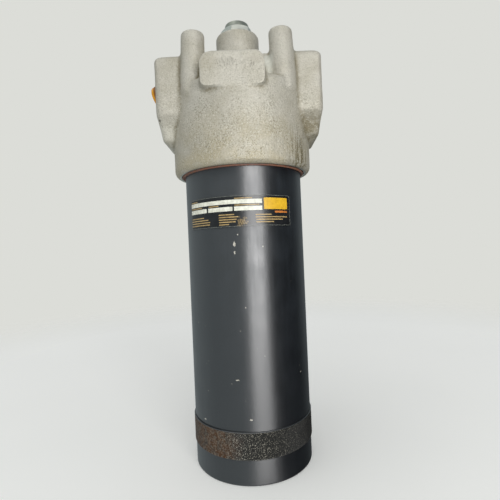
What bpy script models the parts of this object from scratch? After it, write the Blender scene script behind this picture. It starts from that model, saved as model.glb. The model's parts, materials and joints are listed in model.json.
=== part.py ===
"""Hydraulic pressure filter: a cast head, a screwed steel bowl, a pleated element and a bypass valve.

Sizes are in metres. Z runs up the filter's axis from the flat end of the bowl, -Y is the front,
and the two ports look along X.
"""

import math

import bmesh
import bpy
from mathutils import Matrix, Vector

FIT = 0.0003
WELD = 0.000001
ROUND_STEPS = 40
ELEMENT_STEPS = 28
SMALL_STEPS = 20
CORNER_STEPS = 3
HOLE_STEPS = 16
DRILL_STEPS = 12
HEX_SIDES = 6
SEAL_SIDES = 6

# Bowl
BOWL_RADIUS = 0.050
BOWL_WALL = 0.006
BOWL_FLOOR = 0.012
BOWL_EXPOSED = 0.243
BOWL_END_ROUND = 0.0045
BOWL_FLOOR_ROUND = 0.005
BAND_BOTTOM = 0.019
BAND_HEIGHT = 0.0215
BAND_RAISE = 0.0009
BAND_BEVEL = 0.0006
BAND_GROOVE_WIDTH = 0.0010
BAND_GROOVE_DEPTH = 0.0007
THREAD_LENGTH = 0.021
RUN_CLEARANCE = 0.00035
NOSE_STEP = 0.0014
NOSE_LENGTH = 0.011
NOSE_CHAMFER = 0.001
SEAL_GROOVE_DEPTH = 0.0024
SEAL_LIP = 0.0025
BACKUP_THICKNESS = 0.0014

# Dust ring under the head's rim
DUST_RING_WIDTH = 0.0020
DUST_RING_HEIGHT = 0.0035
DUST_RING_SHOWS = 0.0008

# Cast head: its radius follows the bowl's, and its block follows the ports' height
HEAD_WALL = 0.0086
BODY_HEIGHT = 0.068
BODY_DRAFT = 0.0006
BODY_SHOULDER_ROUND = 0.006
RIM_ROUND = 0.0045
RIM_CHAMFER = 0.0008
BLOCK_HALF_LENGTH = 0.045
BLOCK_HALF_WIDTH = 0.0325
CAST_ROUND = 0.004
PORT_HEIGHT = 0.073
PORT_COVER = 0.019
PORT_STANDS_OUT = 0.0084
PORT_HALF_WIDTH = 0.0345
PORT_TAPER_DROP = 0.029
PORT_KNEE_HEIGHT = 0.0245
PORT_KNEE_STANDS_OUT = 0.0046
PORT_KNEE_HALF_WIDTH = 0.024
PORT_FOOT_HEIGHT = 0.0175
PORT_FOOT_HALF_WIDTH = 0.0145
PORT_BORE_RADIUS = 0.0102
PORT_SPOT_RADIUS = 0.0140
PORT_SPOT_DEPTH = 0.0006
POST_SPREAD = 0.0348
POST_RADIUS = 0.0094
POST_RISE = 0.016
POST_ROUND = 0.0022
POST_HOLE_RADIUS = 0.0042
POST_HOLE_DEPTH = 0.018
PAD_LEFT = -0.0278
PAD_RIGHT = 0.0205
PAD_HEIGHT = 0.0248
PAD_TOP_DROP = 0.0104
PAD_STANDS_OUT = 0.0012
PAD_EDGE_ROUND = 0.0012
PAD_UPPER_ROUND = 0.0085
PAD_LOWER_ROUND = 0.0045
TOP_BOSS_RADIUS = 0.0187
TOP_BOSS_RISE = 0.029
TOP_BOSS_FILLET = 0.004

# Passages in the head
CEILING_GAP = 0.010
SPIGOT_RADIUS = 0.0195
SPIGOT_LENGTH = 0.022
CHAMBER_RADIUS = 0.014
CHAMBER_RISE = 0.010
INLET_BORE_END = 0.027
INLET_DROP_RADIUS = 0.0095
INLET_DROP_OFFSET = 0.034
BYPASS_DRILL_RADIUS = 0.0026
WEB_THICKNESS = 0.008
POCKET_RADIUS = 0.0113

# Top plug
PLUG_HEX_FLATS = 0.0251
PLUG_HEX_HEIGHT = 0.007
PLUG_HEX_TURN = math.radians(12)
PLUG_CROWN_RADIUS = 0.0104
PLUG_CROWN_HEIGHT = 0.005
PLUG_CROWN_ROUND = 0.0008
PLUG_SHANK_LENGTH = 0.018
PLUG_SOCKET_RADIUS = 0.0046
PLUG_SOCKET_DEPTH = 0.006
PLUG_NECK_HEIGHT = 0.003
PLUG_NECK_DEPTH = 0.0014
PLUG_SEAL_SECTION = 0.0010

# Shipping plug in the left port
PORT_PLUG_FLANGE_RADIUS = 0.0105
PORT_PLUG_FLANGE = 0.0026
PORT_PLUG_STANDS_OUT = 0.010
PORT_PLUG_DEPTH = 0.014
PORT_PLUG_TAPER = 0.0006
PORT_PLUG_WALL = 0.0014

# Filter element
ELEMENT_GAP = 0.005
ELEMENT_BOTTOM = 0.032
CAP_SHEET = 0.0015
CAP_SKIRT = 0.007
CAP_DROP = 0.004
COLLAR_HEIGHT = 0.018
COLLAR_WALL = 0.0042
COLLAR_CLEARANCE = 0.0004
ELEMENT_SEAL_GROOVE = 0.0025
ELEMENT_SEAL_HEIGHT = 0.009
CORE_RADIUS = 0.021
CORE_WALL = 0.001
CORE_HOLE_RADIUS = 0.0032
CORE_HOLE_ROWS = 6
CORE_HOLES_ACROSS = 3
PLEATS = 36
PLEAT_SHEET = 0.0008
PLEAT_CLEARANCE = 0.0012

# Spring under the element
SPRING_PLATE_RADIUS = 0.018
SPRING_PLATE_RIM = 0.005
SPRING_RADIUS = 0.0145
SPRING_WIRE = 0.0013
SPRING_TURNS = 4

# Bypass valve
VALVE_TUBE_RADIUS = 0.0087
VALVE_TUBE_WALL = 0.0015
VALVE_FLANGE = 0.004
VALVE_TUBE_LENGTH = 0.022
VALVE_SEAT_RADIUS = 0.0052
VALVE_WINDOW_WIDTH = 0.006
VALVE_WINDOW_HEIGHT = 0.010
POPPET_THICKNESS = 0.003
POPPET_NOSE = 0.0035
POPPET_STEM_RADIUS = 0.002
POPPET_STEM_PAST = 0.003
RETAINER_THICKNESS = 0.0024
RETAINER_CLEARANCE = 0.0004
SNAP_WIRE = 0.0006
SNAP_GROOVE = 0.0007
VALVE_SPRING_RADIUS = 0.0050
VALVE_SPRING_WIRE = 0.0007
VALVE_SPRING_TURNS = 5

# Data label on the front of the bowl
LABEL_BOTTOM = 0.198
LABEL_HEIGHT = 0.0227
LABEL_START = math.radians(-57)
LABEL_END = math.radians(47)
LABEL_SHEET = 0.00025

# Levels up the axis
RIM_Z = BOWL_EXPOSED
RING_SEAT_Z = RIM_Z + DUST_RING_HEIGHT - DUST_RING_SHOWS + FIT
SEAL_Z = RING_SEAT_Z + THREAD_LENGTH
BOWL_TOP_Z = SEAL_Z + NOSE_LENGTH
CEILING_Z = BOWL_TOP_Z + CEILING_GAP
SPIGOT_END_Z = CEILING_Z - SPIGOT_LENGTH
BODY_TOP_Z = RIM_Z + BODY_HEIGHT
PORT_Z = RIM_Z + PORT_HEIGHT
BLOCK_TOP_Z = PORT_Z + PORT_COVER
PORT_TAPER_Z = PORT_Z - PORT_TAPER_DROP
PAD_TOP_Z = BLOCK_TOP_Z - PAD_TOP_DROP
PAD_BOTTOM_Z = PAD_TOP_Z - PAD_HEIGHT
POST_TOP_Z = BLOCK_TOP_Z + POST_RISE
BOSS_TOP_Z = BLOCK_TOP_Z + TOP_BOSS_RISE
WEB_Z = PORT_Z + CHAMBER_RISE
POCKET_Z = WEB_Z + WEB_THICKNESS
VALVE_END_Z = WEB_Z - VALVE_TUBE_LENGTH
CAP_Z = SPIGOT_END_Z - CAP_DROP
MEDIA_BOTTOM_Z = ELEMENT_BOTTOM + CAP_SHEET + FIT
MEDIA_TOP_Z = CAP_Z - CAP_SHEET - FIT

# Radii and reaches that follow from the ones above
BOWL_BORE = BOWL_RADIUS - BOWL_WALL
ELEMENT_RADIUS = BOWL_BORE - ELEMENT_GAP
BODY_RADIUS = BOWL_RADIUS + HEAD_WALL
PORT_FACE = BODY_RADIUS + PORT_STANDS_OUT
PORT_KNEE_REACH = BODY_RADIUS + PORT_KNEE_STANDS_OUT
PAD_FRONT = BODY_RADIUS + PAD_STANDS_OUT
THREAD_BORE = BOWL_RADIUS + RUN_CLEARANCE
NOSE_RADIUS = BOWL_RADIUS - NOSE_STEP
SEAL_BORE = NOSE_RADIUS + RUN_CLEARANCE
SEAL_FLOOR = NOSE_RADIUS - SEAL_GROOVE_DEPTH
RING_OUTER = THREAD_BORE + DUST_RING_WIDTH
COLLAR_BORE = SPIGOT_RADIUS + COLLAR_CLEARANCE
VALVE_BORE = VALVE_TUBE_RADIUS - VALVE_TUBE_WALL
SHANK_RADIUS = POCKET_RADIUS - FIT


def clear_scene():
    for thing in list(bpy.data.objects):
        bpy.data.objects.remove(thing, do_unlink=True)


def new_collection(name):
    collection = bpy.data.collections.new(name)
    bpy.context.scene.collection.children.link(collection)
    return collection


def new_material(name, colour, roughness, metallic):
    material = bpy.data.materials.new(name)
    material.use_nodes = True
    shader = material.node_tree.nodes["Principled BSDF"]
    shader.inputs["Base Color"].default_value = (*colour, 1)
    shader.inputs["Roughness"].default_value = roughness
    shader.inputs["Metallic"].default_value = metallic
    material.diffuse_color = (*colour, 1)
    return material


def object_from_bmesh(name, shape, location=(0, 0, 0)):
    """A new object holding the shape, whose faces point out."""
    if shape.faces:
        bmesh.ops.recalc_face_normals(shape, faces=shape.faces)
    mesh = bpy.data.meshes.new(name)
    shape.to_mesh(mesh)
    shape.free()
    thing = bpy.data.objects.new(name, mesh)
    thing.location = location
    bpy.context.scene.collection.objects.link(thing)
    return thing


def shade_round(thing):
    thing.data.shade_smooth()
    thing.data.set_sharp_from_angle(angle=math.radians(35))


def settle(thing):
    """Turns the object's modifiers, or its curve, into a plain mesh with whole flat faces."""
    bpy.context.view_layer.update()
    evaluated = thing.evaluated_get(bpy.context.evaluated_depsgraph_get())
    mesh = bpy.data.meshes.new_from_object(evaluated)
    shape = bmesh.new()
    shape.from_mesh(mesh)
    bmesh.ops.remove_doubles(shape, verts=shape.verts, dist=WELD)
    bmesh.ops.dissolve_limit(
        shape, angle_limit=math.radians(0.05), verts=shape.verts, edges=shape.edges
    )
    shape.to_mesh(mesh)
    shape.free()
    if thing.type == "CURVE":
        name, matrix = thing.name, thing.matrix_world.copy()
        bpy.data.objects.remove(thing, do_unlink=True)
        thing = bpy.data.objects.new(name, mesh)
        thing.matrix_world = matrix
        bpy.context.scene.collection.objects.link(thing)
    else:
        thing.modifiers.clear()
        thing.data = mesh
    shade_round(thing)
    return thing


def arc(centre, radius, start, end, steps=CORNER_STEPS):
    """Points of an arc in the profile plane, from one angle in degrees to another."""
    points = []
    for step in range(steps + 1):
        angle = math.radians(start + (end - start) * step / steps)
        points.append(
            (centre[0] + radius * math.cos(angle), centre[1] + radius * math.sin(angle))
        )
    return points


def turned(name, profile, steps=ROUND_STEPS, location=(0, 0, 0), sweep=2 * math.pi):
    """A profile of (radius, height) points, turned about Z. It runs down its outer side.

    A profile that starts and ends off the axis is closed into a ring.
    """
    shape = bmesh.new()
    points = [shape.verts.new((radius, 0, height)) for radius, height in profile]
    for first, second in zip(points, points[1:]):
        shape.edges.new((first, second))
    if profile[0][0] > 0 and profile[-1][0] > 0 and len(profile) > 2:
        shape.edges.new((points[-1], points[0]))
    thing = object_from_bmesh(name, shape, location)
    screw = thing.modifiers.new("Turn", "SCREW")
    screw.axis = "Z"
    screw.angle = sweep
    screw.steps = steps
    screw.render_steps = steps
    screw.use_merge_vertices = True
    screw.merge_threshold = WELD
    return thing


def ring(name, inner, outer, bottom, top, steps=ROUND_STEPS, location=(0, 0, 0)):
    profile = [(outer, top), (outer, bottom), (inner, bottom), (inner, top)]
    return settle(turned(name, profile, steps, location))


def rod(name, radius, start, end, steps=SMALL_STEPS):
    """A round bar between two points."""
    start, end = Vector(start), Vector(end)
    shape = bmesh.new()
    bmesh.ops.create_cone(
        shape,
        cap_ends=True,
        segments=steps,
        radius1=radius,
        radius2=radius,
        depth=(end - start).length,
    )
    thing = object_from_bmesh(name, shape, (start + end) / 2)
    thing.rotation_mode = "QUATERNION"
    thing.rotation_quaternion = (end - start).to_track_quat("Z", "Y")
    return thing


def o_ring(name, radius, section, height, steps=ROUND_STEPS):
    bpy.ops.mesh.primitive_torus_add(
        major_radius=radius,
        minor_radius=section,
        major_segments=steps,
        minor_segments=SEAL_SIDES,
        location=(0, 0, height),
    )
    thing = bpy.context.object
    thing.name = name
    shade_round(thing)
    return thing


def coil(name, radius, wire, bottom, top, turns, steps=10):
    """A wound spring whose first and last turns lie flat."""
    low, high = bottom + wire, top - wire
    flat_rise = min(2.1 * wire, (high - low) / 4)
    count = turns * steps
    curve = bpy.data.curves.new(name, "CURVE")
    curve.dimensions = "3D"
    curve.bevel_depth = wire
    curve.bevel_resolution = 1
    curve.use_fill_caps = True
    spline = curve.splines.new("POLY")
    spline.points.add(count)
    for index in range(count + 1):
        turn = index / steps
        if turn < 1:
            height = low + flat_rise * turn
        elif turn > turns - 1:
            height = high - flat_rise * (turns - turn)
        else:
            share = (turn - 1) / (turns - 2)
            height = low + flat_rise + (high - low - 2 * flat_rise) * share
        angle = 2 * math.pi * turn
        spline.points[index].co = (radius * math.cos(angle), radius * math.sin(angle), height, 1)
    thing = bpy.data.objects.new(name, curve)
    bpy.context.scene.collection.objects.link(thing)
    return settle(thing)


def rounded_outline(left, right, low, high, radii, steps=CORNER_STEPS):
    """Corner-rounded rectangle; radii go from the lower right corner round to the lower left."""
    corners = (
        (right, low, -1, 1, 270),
        (right, high, -1, -1, 0),
        (left, high, 1, -1, 90),
        (left, low, 1, 1, 180),
    )
    points = []
    for (x, y, to_x, to_y, start), radius in zip(corners, radii):
        centre = (x + to_x * radius, y + to_y * radius)
        points += arc(centre, radius, start, start + 90, steps)
    return points


def loft(name, outlines, plane):
    """Joins like outlines, each given as (height, points), with plane(x, y, height) in space."""
    shape = bmesh.new()
    loops = [
        [shape.verts.new(plane(x, y, height)) for x, y in points] for height, points in outlines
    ]
    for lower, upper in zip(loops, loops[1:]):
        for index in range(len(lower)):
            after = (index + 1) % len(lower)
            shape.faces.new((lower[index], lower[after], upper[after], upper[index]))
    shape.faces.new(loops[0])
    shape.faces.new(loops[-1])
    return object_from_bmesh(name, shape)


def combine(thing, others, operation, helpers):
    """Adds the other shapes to this one, or cuts them from it, and keeps them as hidden helpers."""
    for other in others:
        if other.modifiers:
            other = settle(other)
        boolean = thing.modifiers.new(other.name, "BOOLEAN")
        boolean.operation = operation
        boolean.solver = "EXACT"
        boolean.object = other
        for collection in list(other.users_collection):
            collection.objects.unlink(other)
        helpers.objects.link(other)
        other.hide_render = True
        other.display_type = "WIRE"


def port_boss(name, side):
    """The tapered lobe that carries a port, on the side -1 or 1 of the head."""

    def section(height, reach, half_width):
        inner = POST_SPREAD
        radii = [min(CAST_ROUND, (reach - inner) / 3)] * 4
        return height, rounded_outline(inner, reach, -half_width, half_width, radii)

    outlines = [
        section(RIM_Z + PORT_FOOT_HEIGHT, BODY_RADIUS, PORT_FOOT_HALF_WIDTH),
        section(RIM_Z + PORT_KNEE_HEIGHT, PORT_KNEE_REACH, PORT_KNEE_HALF_WIDTH),
        section(PORT_TAPER_Z, PORT_FACE, PORT_HALF_WIDTH),
    ]
    for inset, rise in arc((0, 0), CAST_ROUND, 0, 90):
        shrink = CAST_ROUND - inset
        top = BLOCK_TOP_Z - CAST_ROUND + rise
        outlines.append(section(top, PORT_FACE - shrink, PORT_HALF_WIDTH - shrink))
    return loft(name, outlines, lambda x, y, z: (side * x, y, z))


def top_block(name):
    """The squared upper part of the casting, between the posts."""
    outlines = []
    radii = [CAST_ROUND] * 4
    bottom = BODY_TOP_Z - 2 * CAST_ROUND
    levels = [(0, bottom)]
    for inset, rise in arc((0, 0), CAST_ROUND, 0, 90):
        levels.append((CAST_ROUND - inset, BLOCK_TOP_Z - CAST_ROUND + rise))
    for shrink, height in levels:
        length = BLOCK_HALF_LENGTH
        width = BLOCK_HALF_WIDTH - shrink
        outlines.append((height, rounded_outline(-length, length, -width, width, radii)))
    return loft(name, outlines, lambda x, y, z: (x, y, z))


def front_pad(name):
    """The flat cast pad on the front, with its rounded corners and edge."""
    outlines = []
    levels = [(BLOCK_HALF_WIDTH - CAST_ROUND, 0)]
    for inset, rise in arc((0, 0), PAD_EDGE_ROUND, 0, 90, 2):
        levels.append((PAD_FRONT - PAD_EDGE_ROUND + rise, PAD_EDGE_ROUND - inset))
    for depth, shrink in levels:
        radii = [
            PAD_LOWER_ROUND - shrink,
            PAD_UPPER_ROUND - shrink,
            PAD_UPPER_ROUND - shrink,
            PAD_LOWER_ROUND - shrink,
        ]
        outline = rounded_outline(
            PAD_LEFT + shrink,
            PAD_RIGHT - shrink,
            PAD_BOTTOM_Z + shrink,
            PAD_TOP_Z - shrink,
            radii,
        )
        outlines.append((depth, outline))
    return loft(name, outlines, lambda x, z, depth: (x, -depth, z))


def round_body(name):
    """The head's round lower body, with its shoulder and rim."""
    top_radius = BODY_RADIUS - BODY_DRAFT
    shoulder = (top_radius - BODY_SHOULDER_ROUND, BODY_TOP_Z - BODY_SHOULDER_ROUND)
    rim = (BODY_RADIUS - RIM_ROUND, RIM_Z + RIM_ROUND)
    profile = [(0, BODY_TOP_Z)]
    profile += arc(shoulder, BODY_SHOULDER_ROUND, 90, 0)
    profile += arc(rim, RIM_ROUND, 0, -90)
    profile.append((0, RIM_Z))
    return turned(name, profile)


def posts():
    """Four mounting posts that rise from the shoulder past the block."""
    found = []
    bottom = BODY_TOP_Z - 2 * BODY_SHOULDER_ROUND
    for x, y, where in ((-1, -1, "fl"), (1, -1, "fr"), (1, 1, "rr"), (-1, 1, "rl")):
        crown = (POST_RADIUS - POST_ROUND, POST_TOP_Z - POST_ROUND)
        profile = [(0, POST_TOP_Z)] + arc(crown, POST_ROUND, 90, 0)
        profile += [(POST_RADIUS, bottom), (0, bottom)]
        found.append(
            turned(
                f"post_{where}", profile, SMALL_STEPS, (x * POST_SPREAD, y * POST_SPREAD, 0)
            )
        )
    return found


def top_boss(name):
    bottom = BLOCK_TOP_Z - CAST_ROUND
    flare = TOP_BOSS_RADIUS + TOP_BOSS_FILLET
    profile = [(0, BOSS_TOP_Z), (TOP_BOSS_RADIUS, BOSS_TOP_Z)]
    profile.append((TOP_BOSS_RADIUS, BLOCK_TOP_Z + TOP_BOSS_FILLET))
    profile += [(flare, BLOCK_TOP_Z - FIT), (flare, bottom), (0, bottom)]
    return turned(name, profile, SMALL_STEPS)


def bowl_cavity(name):
    """The threaded mouth, the seal bore and the ring-shaped space round the spigot."""
    below = RIM_Z - BOWL_WALL
    profile = [
        (0, SPIGOT_END_Z),
        (SPIGOT_RADIUS, SPIGOT_END_Z),
        (SPIGOT_RADIUS, CEILING_Z),
        (SEAL_BORE, CEILING_Z),
        (SEAL_BORE, SEAL_Z),
        (THREAD_BORE, SEAL_Z),
        (THREAD_BORE, RING_SEAT_Z),
        (RING_OUTER + FIT, RING_SEAT_Z),
        (RING_OUTER + FIT, RIM_Z + RIM_CHAMFER),
        (RING_OUTER + FIT + RIM_CHAMFER, RIM_Z),
        (RING_OUTER + FIT + RIM_CHAMFER, below),
        (0, below),
    ]
    return turned(name, profile)


def valve_pocket(name):
    """The stepped bore down from the top boss to the outlet chamber."""
    mouth = POCKET_RADIUS + PLUG_NECK_DEPTH
    above = BOSS_TOP_Z + TOP_BOSS_FILLET
    profile = [
        (0, above),
        (mouth, above),
        (mouth, BOSS_TOP_Z - PLUG_NECK_HEIGHT),
        (POCKET_RADIUS, BOSS_TOP_Z - PLUG_NECK_HEIGHT),
        (POCKET_RADIUS, POCKET_Z),
        (VALVE_TUBE_RADIUS + FIT, POCKET_Z),
        (VALVE_TUBE_RADIUS + FIT, WEB_Z - WEB_THICKNESS),
        (0, WEB_Z - WEB_THICKNESS),
    ]
    return turned(name, profile, SMALL_STEPS)


def passages():
    """Every bore in the casting that isn't turned on the bowl's axis."""
    outside = PORT_FACE + CAST_ROUND
    spot = PORT_FACE - PORT_SPOT_DEPTH
    drop_x = -INLET_DROP_OFFSET
    cuts = [
        rod("outlet_chamber", CHAMBER_RADIUS, (0, 0, SPIGOT_END_Z - CAP_DROP), (0, 0, WEB_Z)),
        rod("outlet_bore", PORT_BORE_RADIUS, (0, 0, PORT_Z), (outside, 0, PORT_Z)),
        rod("outlet_spot", PORT_SPOT_RADIUS, (spot, 0, PORT_Z), (outside, 0, PORT_Z)),
        rod("inlet_bore", PORT_BORE_RADIUS, (-INLET_BORE_END, 0, PORT_Z), (-outside, 0, PORT_Z)),
        rod("inlet_spot", PORT_SPOT_RADIUS, (-spot, 0, PORT_Z), (-outside, 0, PORT_Z)),
        rod(
            "inlet_drop",
            INLET_DROP_RADIUS,
            (drop_x, 0, CEILING_Z - CEILING_GAP / 2),
            (drop_x, 0, PORT_Z),
        ),
        rod(
            "bypass_drill",
            BYPASS_DRILL_RADIUS,
            (-INLET_BORE_END - BYPASS_DRILL_RADIUS, 0, PORT_Z),
            (-POCKET_RADIUS / 2, 0, POCKET_Z + 2 * VALVE_FLANGE),
            DRILL_STEPS,
        ),
    ]
    for index, (x, y) in enumerate(((-1, -1), (1, -1), (1, 1), (-1, 1)), start=1):
        place = (x * POST_SPREAD, y * POST_SPREAD)
        cuts.append(
            rod(
                f"post_hole_{index}",
                POST_HOLE_RADIUS,
                (*place, POST_TOP_Z - POST_HOLE_DEPTH),
                (*place, POST_TOP_Z + POST_ROUND),
                HOLE_STEPS,
            )
        )
    return cuts


def make_head(helpers):
    head = round_body("filter_head")
    lobes = [port_boss("left_boss", -1), port_boss("right_boss", 1), top_block("block")]
    lobes += [front_pad("pad"), top_boss("top_boss"), *posts()]
    combine(head, lobes, "UNION", helpers)
    cuts = [bowl_cavity("bowl_cavity"), valve_pocket("valve_pocket"), *passages()]
    combine(head, cuts, "DIFFERENCE", helpers)
    return settle(head)


def make_bowl():
    """The deep-drawn bowl with its knurled band, thread and sealing nose."""
    band_top = BAND_BOTTOM + BAND_HEIGHT
    proud = BOWL_RADIUS + BAND_RAISE
    groove_top = BOWL_TOP_Z - SEAL_LIP
    groove_bottom = groove_top - seal_groove_width()
    profile = [
        (BOWL_BORE, BOWL_TOP_Z),
        (NOSE_RADIUS - NOSE_CHAMFER, BOWL_TOP_Z),
        (NOSE_RADIUS, BOWL_TOP_Z - NOSE_CHAMFER),
        (NOSE_RADIUS, groove_top),
        (SEAL_FLOOR, groove_top),
        (SEAL_FLOOR, groove_bottom),
        (NOSE_RADIUS, groove_bottom),
        (NOSE_RADIUS, SEAL_Z - FIT),
        (BOWL_RADIUS, SEAL_Z - FIT - NOSE_STEP),
        (BOWL_RADIUS, band_top + BAND_GROOVE_WIDTH),
        (BOWL_RADIUS - BAND_GROOVE_DEPTH, band_top + BAND_GROOVE_WIDTH),
        (BOWL_RADIUS - BAND_GROOVE_DEPTH, band_top),
        (proud - BAND_BEVEL, band_top),
        (proud, band_top - BAND_BEVEL),
        (proud, BAND_BOTTOM + BAND_BEVEL),
        (proud - BAND_BEVEL, BAND_BOTTOM),
        (BOWL_RADIUS, BAND_BOTTOM - BAND_BEVEL),
    ]
    end = (BOWL_RADIUS - BOWL_END_ROUND, BOWL_END_ROUND)
    profile += arc(end, BOWL_END_ROUND, 0, -90)
    profile += [(0, 0), (0, BOWL_FLOOR)]
    corner = (BOWL_BORE - BOWL_FLOOR_ROUND, BOWL_FLOOR + BOWL_FLOOR_ROUND)
    profile += arc(corner, BOWL_FLOOR_ROUND, -90, 0)
    return settle(closed_turned("filter_bowl", profile))


def closed_turned(name, profile, steps=ROUND_STEPS, location=(0, 0, 0)):
    """A turned shape whose closed profile touches the axis along one edge, which is dropped."""
    start = next(index for index, point in enumerate(profile) if point[0] == 0)
    opened = profile[start + 1 :] + profile[: start + 1]
    return turned(name, opened, steps, location)


def seal_section():
    """The bowl seal's section radius: it fills its groove but for the fit on each side."""
    return (SEAL_BORE - SEAL_FLOOR) / 2 - FIT


def seal_groove_width():
    return 2 * seal_section() + BACKUP_THICKNESS + 3 * FIT


def make_bowl_seals():
    """The bowl's O-ring, and the stiff ring that backs it on the low-pressure side."""
    groove_top = BOWL_TOP_Z - SEAL_LIP
    middle = (SEAL_BORE + SEAL_FLOOR) / 2
    seal = o_ring("bowl_o_ring", middle, seal_section(), groove_top - FIT - seal_section())
    top = groove_top - 2 * seal_section() - 2 * FIT
    backup = ring(
        "bowl_backup_ring", SEAL_FLOOR + FIT, SEAL_BORE - FIT, top - BACKUP_THICKNESS, top
    )
    return seal, backup


def make_dust_ring():
    bottom = RIM_Z - DUST_RING_SHOWS
    return ring("dust_ring", THREAD_BORE, RING_OUTER, bottom, bottom + DUST_RING_HEIGHT)


def make_label():
    profile = [
        (BOWL_RADIUS + FIT, LABEL_BOTTOM + LABEL_HEIGHT),
        (BOWL_RADIUS + FIT, LABEL_BOTTOM),
    ]
    sweep = LABEL_END - LABEL_START
    steps = round(ROUND_STEPS * sweep / (2 * math.pi))
    label = turned("data_label", profile, steps, sweep=sweep)
    label.rotation_euler.z = LABEL_START - math.pi / 2
    sheet = label.modifiers.new("Sheet", "SOLIDIFY")
    sheet.thickness = LABEL_SHEET
    sheet.offset = 1
    return settle(label)


def make_top_plug(helpers):
    """A hexagon-headed plug with a round crown, an undercut for its seal and a key socket."""
    head_bottom = BOSS_TOP_Z + FIT
    hex_top = head_bottom + PLUG_HEX_HEIGHT
    crown_top = hex_top + PLUG_CROWN_HEIGHT
    neck = SHANK_RADIUS - PLUG_NECK_DEPTH
    corner = PLUG_HEX_FLATS / math.sqrt(3)
    overlap = PLUG_HEX_HEIGHT / 2
    crown = (PLUG_CROWN_RADIUS - PLUG_CROWN_ROUND, crown_top - PLUG_CROWN_ROUND)
    profile = [(0, crown_top)] + arc(crown, PLUG_CROWN_ROUND, 90, 0)
    profile += [
        (PLUG_CROWN_RADIUS, head_bottom + overlap),
        (neck, head_bottom + overlap),
        (neck, BOSS_TOP_Z - PLUG_NECK_HEIGHT),
        (SHANK_RADIUS, BOSS_TOP_Z - PLUG_NECK_HEIGHT),
        (SHANK_RADIUS, BOSS_TOP_Z - PLUG_SHANK_LENGTH),
        (0, BOSS_TOP_Z - PLUG_SHANK_LENGTH),
    ]
    plug = turned("top_plug", profile, SMALL_STEPS)
    hexagon = rod("plug_hexagon", corner, (0, 0, head_bottom), (0, 0, hex_top), HEX_SIDES)
    hexagon.rotation_quaternion = hexagon.rotation_quaternion @ turn_about_z(PLUG_HEX_TURN)
    socket = rod(
        "plug_socket",
        PLUG_SOCKET_RADIUS,
        (0, 0, crown_top - PLUG_SOCKET_DEPTH),
        (0, 0, crown_top + PLUG_CROWN_ROUND),
        HEX_SIDES,
    )
    combine(plug, [hexagon], "UNION", helpers)
    combine(plug, [socket], "DIFFERENCE", helpers)
    return settle(plug)


def turn_about_z(angle):
    return Matrix.Rotation(angle, 3, "Z").to_quaternion()


def make_top_plug_seal():
    neck = SHANK_RADIUS - PLUG_NECK_DEPTH
    mouth = POCKET_RADIUS + PLUG_NECK_DEPTH
    height = BOSS_TOP_Z - PLUG_NECK_HEIGHT / 2
    return o_ring("top_plug_o_ring", (neck + mouth) / 2, PLUG_SEAL_SECTION, height, SMALL_STEPS)


def make_port_plug():
    """A tapered plastic cup with a flange, pushed into the left port and standing out of it."""
    out = PORT_PLUG_STANDS_OUT
    wide = PORT_BORE_RADIUS - FIT
    narrow = wide - PORT_PLUG_TAPER
    edge = PORT_PLUG_FLANGE / 4
    lip = PORT_PLUG_FLANGE_RADIUS
    profile = [
        (wide - PORT_PLUG_WALL, out),
        (lip - edge, out),
        (lip, out - edge),
        (lip, out - PORT_PLUG_FLANGE + edge),
        (lip - edge, out - PORT_PLUG_FLANGE),
        (wide, out - PORT_PLUG_FLANGE),
        (narrow, -PORT_PLUG_DEPTH + edge),
        (narrow - edge, -PORT_PLUG_DEPTH),
        (0, -PORT_PLUG_DEPTH),
        (0, -PORT_PLUG_DEPTH + PORT_PLUG_WALL),
        (narrow - PORT_PLUG_WALL, -PORT_PLUG_DEPTH + PORT_PLUG_WALL),
    ]
    plug = closed_turned("port_plug", profile, SMALL_STEPS, (-PORT_FACE, 0, PORT_Z))
    plug.rotation_euler = (0, -math.pi / 2, 0)
    return settle(plug)


def make_element_caps():
    """The two pressed end caps. The top one has the collar that slips over the spigot."""
    skirt_bore = ELEMENT_RADIUS - CAP_SHEET
    collar = COLLAR_BORE + COLLAR_WALL
    groove = SPIGOT_RADIUS + ELEMENT_SEAL_GROOVE
    groove_z = CAP_Z + ELEMENT_SEAL_HEIGHT
    groove_width = 2 * element_seal_section() + 2 * FIT
    top_profile = [
        (collar, CAP_Z + COLLAR_HEIGHT),
        (collar, CAP_Z),
        (ELEMENT_RADIUS, CAP_Z),
        (ELEMENT_RADIUS, CAP_Z - CAP_SKIRT),
        (skirt_bore, CAP_Z - CAP_SKIRT),
        (skirt_bore, CAP_Z - CAP_SHEET),
        (CHAMBER_RADIUS, CAP_Z - CAP_SHEET),
        (CHAMBER_RADIUS, CAP_Z + CAP_SHEET),
        (COLLAR_BORE, CAP_Z + CAP_SHEET),
        (COLLAR_BORE, groove_z),
        (groove, groove_z),
        (groove, groove_z + groove_width),
        (COLLAR_BORE, groove_z + groove_width),
        (COLLAR_BORE, CAP_Z + COLLAR_HEIGHT),
    ]
    bottom_profile = [
        (ELEMENT_RADIUS, ELEMENT_BOTTOM + CAP_SKIRT),
        (ELEMENT_RADIUS, ELEMENT_BOTTOM),
        (0, ELEMENT_BOTTOM),
        (0, ELEMENT_BOTTOM + CAP_SHEET),
        (skirt_bore, ELEMENT_BOTTOM + CAP_SHEET),
        (skirt_bore, ELEMENT_BOTTOM + CAP_SKIRT),
    ]
    top = settle(turned("element_top_cap", top_profile, ELEMENT_STEPS))
    bottom = settle(closed_turned("element_bottom_cap", bottom_profile, ELEMENT_STEPS))
    return top, bottom


def element_seal_section():
    return ELEMENT_SEAL_GROOVE / 2 - FIT


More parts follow.
